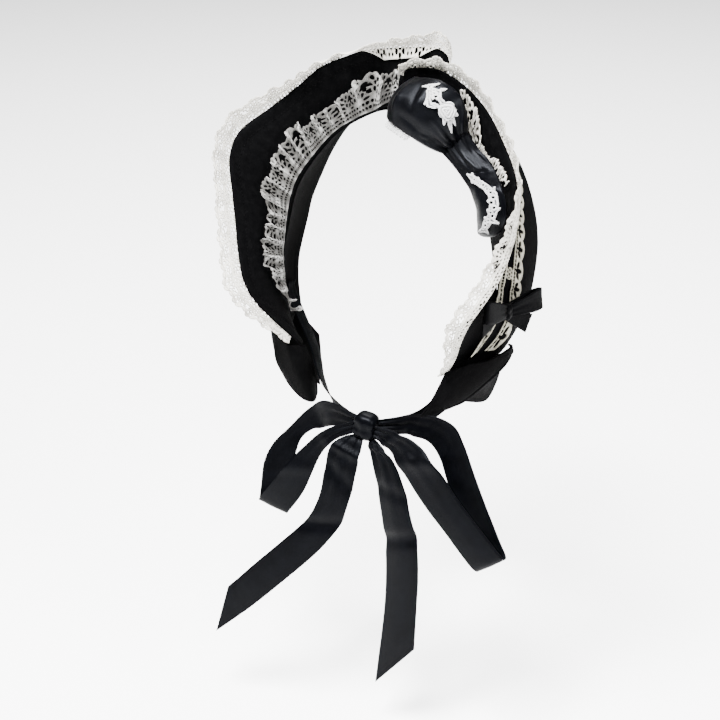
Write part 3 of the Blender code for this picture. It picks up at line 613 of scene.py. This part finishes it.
def ruffle(name, wall, seam, edge, high, fold, finish, seed):
    seam, edge = np.array(seam).T, np.array(edge).T
    start, end = seam[0][0], seam[0][-1]
    run = wall.length * (end - start)
    size = (run * innerLace["full"], high)
    count = round(run * 0.86 / innerLace["pitch"])
    full = min(fold / innerLace["deep"], 1)

    def folded(share, out):  # how far the gathers have run, then how high each place stands, about -1 to 1
        uneven = 0.5 * wander(share * count * 1.3, seed) / count
        phase = math.tau * count * (share + uneven)
        return uneven, phase, np.sin(phase) + 0.35 * np.sin(2.7 * phase + seed) * out

    def place(x, y):
        share, out = x / size[0], y / size[1]
        uneven, phase, stands = folded(share, out)
        along = np.clip(start + (end - start) * (share + 0.5 * uneven), start, end)
        deep = 0.75 + 0.35 * wander(share * count * 0.9, seed + 4)
        lean = innerLace["lean"] * out**0.7 * (np.sin(phase + 1.1) + 0.3 * np.sin(2.3 * phase)) * full
        inner, outer = np.interp(along, seam[0], seam[1]), np.interp(along, edge[0], edge[1])
        tips = 1 + 0.09 * wander(share * count * 3.1, seed + 1) + 0.05 * np.sin(phase)
        reach = inner + out * tips * (outer - inner)
        lift = 0.0024 + out**0.7 * fold * (1.35 + stands * deep)
        along = np.clip(along + lean / wall.length, 0, 1)
        point, normal, _ = wall.frame(along, reach)
        return point - normal * lift[:, None], -normal

    def pattern(x, y):
        return innerPattern(x, y + innerLace["width"] - high)

    def raised(x, y):
        fromEdge = scallopEdge(x, innerLace["scallop"], high, innerLace["depth"]) - y
        cords = line(fromEdge - 0.0012, 0.0008) + line(y - 0.0165, 0.0007)
        return 0.0004 * cords - 0.0002 * line(y, 0.002)

    def shade(x, y):  # painted shade down in the gathers, beside the holes and by the seam
        _, phase, stands = folded(x / size[0], y / size[1])
        deep = full * np.clip(0.55 - 0.45 * stands + 0.3 * np.cos(phase), 0, 1)
        return (1 - 0.62 * deep) * fade(pattern(x, y), 0.0008, 0.55) * fade(y / size[1], 0.35, 0.7)

    kind, rests = {**innerLace, "finish": finish}, [name.replace("ruffle", "brim")]
    softCloth(name, kind, size, place, raised, pattern, shade)


ruffle("ruffle_left", leftBrim, innerLace["seamLeft"], innerLace["edgeLeft"], 0.018, 0.0014, "ivory", 1.9)
ruffle("ruffle_right", rightBrim, innerLace["seamRight"], innerLace["edgeRight"], 0.03, 0.0056, "shadedIvory", 0.6)
print("inner ruffle is gathered")


# beading lace and its ribbon along the band

beading = {
    "half": 0.0165, "slotHalf": 0.0036, "depth": 0.0034, "scallop": 0.0142,
    "slots": 4,  # scallops from one bridge over the ribbon to the next
    "ribbonHalf": 0.0062, "end": 0.022, "ribbonEnd": 0.016, "cell": 0.00056, "thickness": 0.0007,
    "finish": "beige",
    # how far out from the top centre, where the middle lies across the band, the brim's rise in front of it
    "place": [
        (0.00, 0.55, 1.00),
        (0.35, 0.57, 1.00),
        (0.5, 0.46, 1.00),
        (0.6, 0.35, 1.00),
        (0.7, 0.3, 1.00),
        (0.78, 0.18, 0.65),
        (0.83, 0.11, 0.42),
        (0.88, 0.15, 0.32),
        (0.93, 0.1, 0.28),
        (1.00, -0.06, 0.28),
    ],
}


def onBand(along, out, off):
    columns = np.array(beading["place"]).T
    middle, flare = (np.interp(np.abs(2 * along - 1), columns[0], column) for column in columns[1:])
    across = middle + out / bandWall.width(along)
    ahead = np.maximum(-across, 0.0) * bandWall.width(along)
    point, normal, _ = bandWall.frame(along, across)
    return point + normal * (off + ahead * flare)[:, None], normal


def overHead(end, half, off):  # a strip between two ends of the band: its flat size and its place
    run = bandWall.length * (1 - 2 * end)
    lift = band["thickness"] / 2 + off
    return (run, 2 * half), lambda x, y: onBand(end + (1 - 2 * end) * x / run, y - half, lift)


beadingSize, beadingPlace = overHead(beading["end"], beading["half"], 0.003)
beadingRun = beadingSize[0]
beadingCount = round(beadingRun / beading["scallop"])


def beadingRim(x, y):  # how far out from the middle, and how far in from the scallops
    out = np.abs(y - beading["half"])
    return out, scallopEdge(x, beadingRun / beadingCount, beading["half"], beading["depth"]) - out


def beadingPattern(x, y):
    pitch = beadingRun / beadingCount
    out, rim = beadingRim(x, y)
    period = pitch * beading["slots"]
    bridge = period - np.abs((x + pitch / 4) % period - period / 2) - period / 2
    return least(
        rim,
        fan(x, out, pitch, 0.0072, 0.0043, 3, 0.0027, 0.98),
        hole(x % pitch - pitch / 2, out, 0, 0.008, 0.0011, 0.0013),
        netting(x, out, 0.0046, 0.0068, 0.0027, 0.0012),
        np.maximum(out - beading["slotHalf"], pitch * 0.3 - bridge),
        netting(x, out, -0.001, 0.0034, 0.0026, 0.0008))


def beadingRaised(x, y):
    out, edge = beadingRim(x, y)
    cords = line(edge - 0.0007, 0.0005) + line(edge - 0.0022, 0.0005)
    return 0.00035 * cords + 0.0003 * line(out - 0.0042, 0.0005)


def beadingShade(x, y):
    # painted shade beside the holes and in the groove between the rim's two cords
    cords = line(beadingRim(x, y)[1] - 0.0016, 0.0004)
    return fade(beadingPattern(x, y), 0.0007, 0.55) * (1 - 0.35 * cords)


softCloth("beading_lace", beading, beadingSize, beadingPlace,
          beadingRaised, beadingPattern, beadingShade)
beadingRibbon = {"thickness": 0.0006, "cell": 0.0015, "finish": "ribbon"}
size, place = overHead(beading["ribbonEnd"], beading["ribbonHalf"], 0.0009)
softCloth("beading_ribbon", beadingRibbon, size, place)
print("beading lace is laid on the band")


# small bows at the sides

sideBow = {
    "width": 0.018, "lift": 0.0096, "thickness": 0.0007, "cell": 0.0011, "finish": "ribbon",
    "knotSize": (0.011, 0.01, 0.014),
    "spots": {
        "knot": (0.101, -0.039, -0.1495),
        "back_tip": (0.1165, 0.001, -0.149), "front_tip": (0.101, -0.078, -0.136),
        "back_tail": (0.1142, -0.006, -0.171), "front_tail": (0.099, -0.075, -0.152),
    },
}


def ends(middle, side, width):  # a cloth row's two ends
    return *(middle - side * width / 2), *(middle + side * width / 2)


def bowWall(start, tip, normal, narrow, wide, rise, backRise):
    run = tip - start
    side = run.normalized().cross(normal)
    shares = [(0.0, 1.0, narrow), (0.35, 1.35, (narrow + wide) / 2), (0.75, 1.25, wide), (0.97, 0.9, wide)]
    rows = []
    for share, lift, width in shares:
        rows.append((*ends(start + run * share + normal * rise * lift, side, width), 0.0005))
    rows.append((*ends(start + run + normal * (rise * 0.9 + backRise) / 2, side, wide), 0.0))
    for share, lift, width in reversed(shares):
        rows.append((*ends(start + run * share + normal * backRise, side, width), 0.0))
    return Wall(rows)


def ribbonPiece(name, kind, wall, creases, seed, bends=()):
    size, place = onWall(wall)

    def raised(x, y):  # gathers that fade away from the knot, and a firm woven edge
        share, across = x / size[0], y / size[1]
        near = np.exp(-share * 9) + np.exp(-(1 - share) * 9) if creases > 0 else np.exp(-share * 7)
        edge = 0.00018 * (line(across, 0.03) + line(1 - across, 0.03))
        gathers = abs(creases) * near * np.sin(5 * math.pi * across + seed)
        out = gathers + edge + 0.0003 * wander(x / 0.03, seed)
        for at, slant, depth, half in bends:
            out = out + depth * line(share - at - slant * (across - 0.5), half)
        return out

    softCloth(name, kind, size, place, raised)


def softKnot(name, centre, size, turn, finish, pleats):  # turned about Y, after about Z
    mesh = bmesh.new()
    bmesh.ops.create_uvsphere(mesh, u_segments=64, v_segments=40, radius=0.5, calc_uvs=True)
    for vertex in mesh.verts:  # pulled in round the waist, with pleats that run over it
        vertex.co *= 0.5 / sum(abs(value) ** 3 for value in vertex.co) ** (1 / 3)
        around, height = math.atan2(vertex.co.y, vertex.co.x), vertex.co.z
        pull = 1 - 0.1 * math.exp(-((height / 0.14) ** 2))
        pleat = 1 + 0.045 * math.sin(pleats * around + 1.3 * math.sin(3 * height)) * (1 - (2 * height) ** 2)
        vertex.co.x *= pull * pleat
        vertex.co.y *= pull * pleat
    turned = Matrix.Rotation(turn[0], 4, "Y") @ Matrix.Rotation(turn[1], 4, "Z") @ Matrix.Diagonal((*size, 1))
    bmesh.ops.transform(mesh, matrix=Matrix.Translation(Vector(centre)) @ turned, verts=mesh.verts)
    layer = mesh.loops.layers.uv.active or mesh.loops.layers.uv.new("flat")
    for face in mesh.faces:
        for corner in face.loops:
            corner[layer].uv = (corner[layer].uv.x * 3 * size[0], corner[layer].uv.y * 1.6 * size[2])
    settle("fine_" + name, mesh, finish, [name]).data.uv_layers[0].name = "flat"


for side, sign in (("left", 1.0), ("right", -1.0)):
    spots = {key: Vector((place[0] * sign, *place[1:])) for key, place in sideBow["spots"].items()}
    normal = Vector((sign, -0.1, 0.12)).normalized()
    knot = spots["knot"] + normal * sideBow["lift"]
    for part in ("back", "front"):
        tip = spots[part + "_tip"] + normal * (sideBow["lift"] - 0.002)
        loop = bowWall(knot - normal * 0.001, tip, normal, 0.009, sideBow["width"], 0.0036, -0.0008)
        ribbonPiece(f"side_bow_{side}_loop_{part}", sideBow, loop, 0.0006, 0.8)
    for part, sink in (("back", 0.005), ("front", 0.0036)):
        tip = spots[part + "_tail"] + normal * (sideBow["lift"] - 0.004)
        run = tip - knot
        across = run.normalized().cross(normal)
        rows = []
        for share, width, slant in ((0.08, 0.008, 0), (0.35, 0.012, 0), (0.7, 0.015, 0), (1.0, 0.017, 0.005)):
            middle = knot + run * share - normal * sink * (1 - share)
            high = middle + across * width / 2 - run.normalized() * slant
            rows.append((*(middle - across * width / 2), *high, 0.0002))
        ribbonPiece(f"side_bow_{side}_tail_{part}", sideBow, Wall(rows), -0.0004, 0.3)
    softKnot(f"side_bow_{side}_knot", knot, sideBow["knotSize"], (0, math.radians(5 * sign)), "ribbon", 5)
print("side bows are tied")


# ear flaps

flaps = {
    "thickness": 0.0016, "cell": 0.0012, "finish": "cloth",
    "leftFront": mm(
        (73, -73, -197, 57, -85, -236), (88, -64, -191, 68, -73, -234), (101, -47, -190, 83, -50, -229),
        (110, -24, -186, 95, -29, -217)),
    "leftTip": (0.102, -0.003, -0.203),
    "leftFolds": table(foldUnits,
        (340, 100, 920, 10, 30, 26), (300, 100, 800, 30, 45, -18)),
    "rightFront": mm(
        (-66.5, -56, -208, -65.5, -38, -261.5), (-72, -72, -203, -63, -50, -264),
        (-84, -69, -200, -74, -52, -261), (-97, -60, -196, -86, -53, -249),
        (-107, -42, -191, -96, -45, -234), (-112, -20, -187, -102, -26, -217)),
    "rightTip": (-0.103, -0.003, -0.203),
    "rightFolds": table(foldUnits,
        (280, 5, 420, 100, 30, 18)),
    # lower edges below the front flaps
    "leftBack": mm(
        (68, -34, -240), (73, -18, -247), (79, 1, -253), (84, 10, -240), (89, 9, -218)),
    "rightBack": mm(
        (-66, -31, -256), (-73, -19, -254), (-80, -4, -244), (-86, 4, -226)),
}


def crease(x, y, fromX, fromY, toX, toY, width, depth):  # a fold between two spots, fading at its ends
    share, off = segment(x, y, fromX, fromY, toX, toY)
    return depth * np.exp(-np.abs(off / width) ** 1.4) * np.clip(1.15 - np.abs(2 * share - 1), 0, 1)


def flapPiece(name, wall, seed, folds=()):
    size, place = onWall(wall)

    def raised(x, y):  # a turned edge, a sewn line inside it and a soft fold
        fromEdge = np.minimum(np.minimum(x, size[0] - x), size[1] - y)
        turned = 0.00035 * line(fromEdge, 0.0011) - 0.0003 * line(fromEdge - 0.0032, 0.0007)
        out = turned + 0.0007 * wander(x / 0.016 + y / 0.03, seed)
        for fold in folds:
            out = out + crease(x / size[0], y / size[1], *fold)
        return out

    cloth(name, flaps, size, place, raised)


for side, facing, bandEnd, off, tuck, span in (("left", -1.0, 0.985, 0.0021, 0.97, (0.4, 0.93)),
                                               ("right", 1.0, 0.015, 0.0011, 0.45, (0.47, 0.94))):
    sewn = bandWall.at(bandEnd, 0.85, off)[0]
    front = Wall(flaps[side + "Front"] + [(*sewn, *flaps[side + "Tip"])], facing, 0.003)
    shares = np.linspace(*span, len(flaps[side + "Back"]))
    behind = front.at(shares, np.full_like(shares, tuck), -flaps["thickness"] - 0.0008)
    back = Wall([(*top, *low) for top, low in zip(behind, flaps[side + "Back"])], facing, -0.001)
    flapPiece("ear_flap_front_" + side, front, 0.9 * facing, flaps[side + "Folds"])
    flapPiece("ear_flap_back_" + side, back, 2.0 * facing)
print("ear flaps are hung")


# satin bow inside the brim, with its laces

satin = {
    "thickness": 0.0009, "cell": 0.0011, "finish": "satinBow",
    # lower edge x, y, z, upper edge x, y, z, belly
    "puff": mm(
        (56.5, -45, -21, 73, -41, -3, 1), (47, -54, -15, 74.5, -44, 6.5, 5), (34, -61, -6, 69, -46, 27, 9),
        (20, -59, 0, 51, -47, 38, 9), (8, -50, 2, 32, -43, 37, 7), (4, -40, 4, 25, -37, 35, 5),
        (8, -32, 6, 29, -33, 33, 3), (24, -30, 6, 45, -35, 29, 3)),
    "drape": mm(
        (53.5, -47, -19, 72, -43, 0, 1), (66, -49, -29, 84, -44, -13, 3), (76, -53, -37, 97, -50, -21, 3),
        (83, -56, -43, 106, -57, -28, 4), (88, -60, -49, 114, -64, -35, 6), (92, -63, -56, 120, -69, -46, 7),
        (93, -63, -67, 120, -70, -60, 6), (93, -58, -78, 111, -64, -72, 2)),
}
onBrim = -(brim["thickness"] / 2 + 0.0009)
brimRow = leftBrim.at((0.14, 0.14), (0.3, 0.55), onBrim), leftBrim.at((0.46, 0.46), (0.35, 0.55), onBrim)
puff = Wall(satin["puff"] + [tuple(brimRow[0].ravel())], -1.0)
drape = Wall(satin["drape"] + [tuple(brimRow[1].ravel())])


def satinPiece(name, wall, folds, pinch, seed):
    size, place = onWall(wall)

    def raised(x, y):
        share, across = x / size[0], y / size[1]
        out = pinch * np.exp(-share * 7) * np.sin(7 * math.pi * across + 2.2 * share + seed)
        for fold in folds:
            out = out + crease(share, across, *fold)
        return out + 0.0004 * wander(share * 9 + across * 4, seed)

    cloth(name, satin, size, place, raised)


satinPiece("satin_puff", puff, table(foldUnits,
    (589, 90, 462, -5, 40, 34), (515, 95, 388, 35, 32, -30), (452, 85, 367, 30, 30, 22),
    (0, 30, 209, 26, 32, -26), (0, 10, 262, 2, 35, 22), (0, 45, 262, 46, 32, 24), (0, 75, 198, 98, 30, 30),
    (0, 62, 177, 78, 28, -24), (220, 16, 452, 22, 50, -22), (135, 20, 230, 12, 22, 22),
    (262, 100, 430, 100, 40, -18)), 0.0018, 0.4)
satinPiece("satin_drape", drape, table(foldUnits,
    (0, 45, 360, 62, 34, 24), (30, 85, 340, 102, 30, -18), (260, 15, 340, 95, 24, -26),
    (380, 55, 520, 102, 36, 26), (460, 92, 720, 88, 30, -24), (500, 100, 760, 100, 30, 18),
    (360, 66, 620, 62, 30, 18)), 0.0012, 1.4)


motifs = {
    "thickness": 0.001, "finish": "white", "lift": 0.0019, "cell": 0.00032, "wobble": 0.00016,
    "roseParts": table(partUnits,
        (460, 80, 430, 86, 2, 13), (430, 86, 404, 97, 14, 2), (433, 86, 399, 80, 13, 19),
        (399, 78, 376, 70, 17, 12), (399, 83, 367, 86, 17, 14), (396, 80, 350, 75, 30, 20),
        (376, 70, 359, 58, 13, 3), (374, 69, 338, 62, 12, 19), (367, 86, 329, 78, 14, 11),
        (365, 90, 350, 95, 12, 3), (338, 62, 309, 64, 19, 10), (329, 78, 288, 76, 12, 18),
        (325, 66, 288, 70, 12, 12), (222, 64, 196, 57, 18, 5), (209, 80, 184, 84, 18, 5),
        (203, 70, 169, 66, 20, 16), (169, 66, 112, 62, 16, 3), (186, 74, 139, 74, 14, 3)),
    "roseCentre": (0.244, 0.735, 0.0068),
    "roseEyes": table(eyeUnits,
        (354, 77.5, 13), (343, 73, 11), (378, 76, 6), (388, 83, 5), (409, 83, 6), (393, 79, 5), (194, 74, 6),
        (300, 71, 7), (179, 69, 5)),
    "leafParts": table(partUnits,
        (270, 26, 330, 36, 6, 26), (290, 40, 345, 32, 8, 22), (330, 36, 400, 50, 26, 28),
        (372, 36, 400, 50, 10, 22), (400, 50, 455, 66, 28, 26), (430, 50, 455, 66, 8, 20),
        (455, 66, 510, 78, 26, 30), (470, 86, 500, 76, 6, 22), (350, 52, 390, 48, 6, 18),
        (510, 78, 575, 76, 30, 32), (545, 64, 575, 76, 8, 24), (575, 76, 640, 70, 32, 30),
        (600, 60, 640, 70, 8, 24), (640, 70, 680, 54, 30, 32), (645, 50, 665, 62, 6, 20),
        (600, 88, 620, 74, 5, 20), (690, 86, 660, 66, 5, 20), (680, 54, 725, 44, 32, 30),
        (725, 44, 750, 24, 26, 8), (735, 52, 765, 62, 18, 4)),
    "leafEyes": table(eyeUnits,
        (345, 38, 12), (372, 45, 9), (398, 47, 11), (432, 60, 14), (468, 68, 9), (496, 75, 12),
        (530, 78, 14), (560, 71, 14), (592, 76, 12), (618, 67, 10), (640, 71, 13), (664, 60, 9),
        (690, 50, 13), (714, 43, 9)),
}


def motif(name, wall, parts, eyes, rose=None):
    parts = np.array(parts)
    tips = np.vstack([parts[:, 0:2], parts[:, 2:4]])
    low, high = tips.min(0) - 0.06, np.minimum(tips.max(0) + (0.06, 0.12), (1, 1.05))
    scale = np.array([wall.length, wall.width(parts[:, 0].mean())[0]])
    size = tuple((high - low) * scale)
    starts, stops = (parts[:, 0:2] - low) * scale, (parts[:, 2:4] - low) * scale
    pins = [(*((np.array(eye[:2]) - low) * scale), eye[2]) for eye in eyes]
    centre = (np.array(rose[:2]) - low) * scale if rose else None

    def inRose(x, y):  # how far from the middle, which way, and how many petals have been passed
        far, around = np.hypot(x - centre[0], y - centre[1]), np.arctan2(y - centre[1], x - centre[0])
        return far, around, far / 0.0024 + 0.22 * np.sin(3 * around) + around / math.tau

    def pattern(x, y):
        out = np.full_like(x, -1.0)
        for start, stop, wide, thin in zip(starts, stops, parts[:, 4], parts[:, 5]):
            share, off = segment(x, y, *start, *stop)
            out = np.maximum(out, wide + (thin - wide) * np.clip(share, 0, 1) - off)
        if rose:
            far, around, _ = inRose(x, y)
            out = np.maximum(out, rose[2] * (0.88 + 0.14 * np.abs(np.cos(2.5 * around + 0.4))) - far)
        out = out + motifs["wobble"] * np.sin(x / 0.00042) * np.sin(y / 0.00042 + 1)
        for atX, atY, radius in pins:
            out = np.minimum(out, np.hypot(x - atX, y - atY) - radius)
        return out

    def raised(x, y):  # corded outlines, and petals laid round each other in the rose
        out = 0.0007 * line(pattern(x, y) - 0.0005, 0.00035)
        if rose:
            far, _, turns = inRose(x, y)
            dome = 0.0012 * np.clip(1 - (far / rose[2]) ** 2, 0, 1)
            out = np.where(far < rose[2] * 0.93, 0.0008 * np.cos(math.tau * turns) + 0.0005 + dome, out)
        return out

    def shade(x, y):  # painted shade: dark lines inside the cords, and between the rose's petals
        out = 1 - 0.85 * line(pattern(x, y) - 0.0014, 0.0005)
        if rose:
            far, _, turns = inRose(x, y)
            between = (0.5 - 0.5 * np.cos(math.tau * turns)) ** 4
            out = np.where(far < rose[2] * 0.93, 1 - 0.8 * between, out)
        return out

    def place(x, y):
        point, normal, _ = wall.frame(low[0] + x / scale[0], low[1] + y / scale[1])
        return point + normal * motifs["lift"], normal

    cloth(name, motifs, size, place, raised, pattern, shade)


motif("rose_motif", puff, motifs["roseParts"], motifs["roseEyes"], motifs["roseCentre"])
motif("leaf_motif", drape, motifs["leafParts"], motifs["leafEyes"])

puffLace = {
    "thickness": 0.0007, "cell": 0.0006, "finish": "white",
    "width": 0.0085, "start": 0.26, "end": 0.6, "scallop": 0.0058,
}
size = ((puffLace["end"] - puffLace["start"]) * puff.length, puffLace["width"])


def fringePattern(x, y):
    pitch = puffLace["scallop"]
    return least(
        scallopEdge(x, pitch, puffLace["width"], 0.0016, 0.0005, 0.0014) - y,
        netting(x, y, 0.003, 0.006, 0.0024, 0.0006),
        fan(x, y, pitch, 0.0062, 0.0026, 3, 0.0008, 1.0))


def fringePlace(x, y):
    along = puffLace["start"] + (puffLace["end"] - puffLace["start"]) * x / size[0]
    across = 0.045 - y / puff.width(along)
    point, normal, _ = puff.frame(along, across)
    wave = 0.0004 * np.sin(math.tau * x / 0.006) * y / size[1]
    return point - normal * (0.0018 + wave)[:, None], normal


cloth("puff_lace", puffLace, size, fringePlace, pattern=fringePattern)
print("satin bow and its laces are in place")


# chin ribbon

chin = {
    "thickness": 0.0008, "cell": 0.0018, "finish": "satin",
    # left edge x, y, z, right edge x, y, z, belly
    "loopRight": mm(
        (-7, -79, -257, -6, -80, -267, 0), (-32, -84, -268, -24, -83, -277, 1),
        (-49, -89, -285, -35, -87, -291, 1), (-63, -93, -302, -42, -90, -309, 1),
        (-79, -95, -325, -51, -92, -331, 1), (-94, -93, -346, -66, -91, -354, 1),
        (-97, -89, -350, -70, -87, -357, 0), (-99, -82, -340, -71, -81, -342, 0),
        (-99, -76, -320, -70, -75, -316, 1), (-92, -71, -302, -66, -69, -294, 1),
        (-77, -67, -284, -56, -66, -283, 1), (-60, -66, -264, -47, -67, -280, 1),
        (-40, -69, -250, -33, -70, -272, 1), (-8, -74, -254, -8, -74, -265, 0)),
    "loopLeft": mm(
        (10, -80, -267, 10, -79, -257, 0), (28, -84, -273, 38, -83, -257, 1),
        (41, -89, -284, 60, -87, -264, 1), (56, -92, -302, 78, -91, -279, 1),
        (70, -94, -317, 94, -93, -298, 1), (86, -96, -332, 110, -95, -314, 1),
        (101, -97, -348, 126, -96, -330, 1), (113, -96, -361, 138, -95, -343, 1),
        (115, -91, -362, 139, -90, -344, 0), (102, -86, -344, 130, -86, -331, 0),
        (87, -81, -317, 115, -81, -305, 1), (78, -77, -293, 103, -76, -284, 1),
        (69, -73, -275, 91, -72, -260, 1), (56, -69, -266, 78, -68, -246, 1),
        (38, -70, -265, 52, -68, -243, 1), (12, -74, -265, 12, -74, -254, 0)),
    "tailRight": mm(
        (-4, -77, -269.5, 1, -78, -269.5, 0), (-18, -84, -274, 3, -85, -274, 1),
        (-26, -90, -284, 3, -91, -286, 1), (-28, -95, -302, 1, -96, -304, 1),
        (-30, -99, -322, -2, -100, -323, 1), (-36, -102, -340, -8, -103, -344, 1),
        (-46, -105, -355, -18, -106, -362, 1), (-62, -108, -373, -34, -109, -383, 1),
        (-88, -113, -401, -62, -114, -414, 1), (-104, -116, -419, -92, -118, -446, 1),
        (-115, -118, -431, -127, -122, -480, 0)),
    "tailLeft": mm(
        (5, -77, -269.5, 10, -78, -269.5, 0), (9, -83, -275, 21, -84, -273, 1),
        (14, -87, -288, 35, -88, -284, 1), (20, -90, -308, 45, -91, -302, 2),
        (26, -92, -337, 53, -93, -328, 2), (30, -93, -366, 60, -94, -356, 2),
        (31, -94, -400, 62, -95, -385, 1), (29, -94, -433, 61, -95, -413, 1),
        (25, -94, -470, 60, -95, -437, 1), (21, -94, -506, 59, -95, -459, 0)),
    # soft cross folds: where along, how slanted, depth in metres, half width as a share of the length
    "loopBendsLeft": [(0.07, 0.03, 0.0024, 0.014), (0.16, 0.05, 0.003, 0.024), (0.9, 0.03, 0.0026, 0.02)],
    "loopBendsRight": [(0.1, 0.02, 0.002, 0.02), (0.24, -0.04, 0.0016, 0.03), (0.84, 0.0, 0.0026, 0.026)],
    "tailBendsLeft": [(0.08, 0.03, 0.002, 0.014), (0.27, 0.05, -0.0012, 0.03), (0.47, 0.0, -0.0026, 0.034)],
    "tailBendsRight": [(0.07, 0.02, 0.0022, 0.014), (0.16, 0.06, -0.0012, 0.026),
                       (0.35, -0.06, -0.0028, 0.032)],
    # upper edge x, y, z, lower edge x, y, z, belly, below the band
    "strap": mm(
        (69, -44, -214, 73, -21, -226, 1), (58, -53, -229, 61, -33, -247, 1),
        (46, -61, -242, 46, -46, -261, 1), (31, -66, -250, 31, -58, -267, 1),
        (14, -69, -256, 14, -67, -265, 0), (3, -73, -257, 3, -72, -264, 0)),
    "knotCentre": (0.0025, -0.0765, -0.2605),
    "knotSize": (0.021, 0.019, 0.024),
}
for side in ("Left", "Right"):
    for part, held, creases, seed in (("loop", "folded", 0.0009, 0.5), ("tail", "hung", -0.0009, 1.1)):
        ribbonPiece(f"chin_{part}_{side.lower()}", chin, Wall(chin[part + side]),
                    creases, seed, chin[part + "Bends" + side])
for side, sign, end in (("left", 1.0, 0.985), ("right", -1.0, 0.015)):
    top = []
    for back in (0.03, 0.012):
        edges = [bandWall.at(end - back * sign, across, -0.0029)[0] for across in (0.25, 0.8)]
        top.append((*edges[0], *edges[1], 0.0))
    rows = top + (chin["strap"] if sign > 0 else mirrored(chin["strap"]))
    ribbonPiece("chin_strap_" + side, {**chin, "finish": "satinBack"}, Wall(rows),
                -0.0002, 0.2)
softKnot("chin_knot", chin["knotCentre"], chin["knotSize"], (math.radians(10), 0), "satin", 7)
print("chin ribbon is tied")


# studio

studio = {
    "azimuth": 27, "elevation": 25, "distance": 1.4, "pixels": 720, "pixelsPerMetre": 1220,
    "origin": (406, 104), "floor": -0.55,
}


def toward(azimuth, elevation):
    a, e = math.radians(azimuth), math.radians(elevation)
    return Vector((math.sin(a) * math.cos(e), -math.cos(a) * math.cos(e), math.sin(e)))


back = toward(studio["azimuth"], studio["elevation"])
azimuth = math.radians(studio["azimuth"])
right = Vector((math.cos(azimuth), math.sin(azimuth), 0))
up = back.cross(right)
offX, offY = ((place - studio["pixels"] / 2) / studio["pixelsPerMetre"] for place in studio["origin"])
aim = up * offY - right * offX
camera = placed("camera", bpy.data.cameras.new("camera"))
turn = Matrix((right, up, back)).transposed().to_4x4()
camera.matrix_world = Matrix.Translation(aim + back * studio["distance"]) @ turn
camera.data.sensor_width = 36
camera.data.lens = 36 * studio["pixelsPerMetre"] * studio["distance"] / studio["pixels"]
bpy.context.scene.camera = camera

mesh = bmesh.new()
bmesh.ops.create_grid(mesh, x_segments=1, y_segments=1, size=6)
bmesh.ops.translate(mesh, vec=(0, 0, studio["floor"]), verts=mesh.verts)
floorMesh = bpy.data.meshes.new("floor")
mesh.to_mesh(floorMesh)
mesh.free()
floorMesh.materials.append(Finish("pale_floor", (0.93,) * 3, 0.9, Specular_IOR_Level=0.1).made)
placed("floor", floorMesh)

world = bpy.data.worlds.new("soft_white")
bpy.context.scene.world = world
world.use_nodes = True
sky = world.node_tree.nodes["Background"].inputs
sky["Color"].default_value = (1, 1, 1, 1)
sky["Strength"].default_value = 0.5


def lamp(name, azimuth, elevation, distance, size, power, aimAt=(0, -0.03, -0.15)):
    light = bpy.data.lights.new(name, "AREA")
    light.shape = "SQUARE"
    light.size = size
    light.energy = power
    made = placed(name, light)
    way = toward(azimuth, elevation)
    made.location = Vector(aimAt) + way * distance
    made.rotation_mode = "QUATERNION"
    made.rotation_quaternion = way.to_track_quat("Z", "Y")


lamp("key", -5, 62, 2.0, 0.8, 420)
lamp("fill", 75, 28, 2.4, 0.8, 110)
lamp("back", 195, 55, 2.4, 1.2, 160)
print("studio is lit")
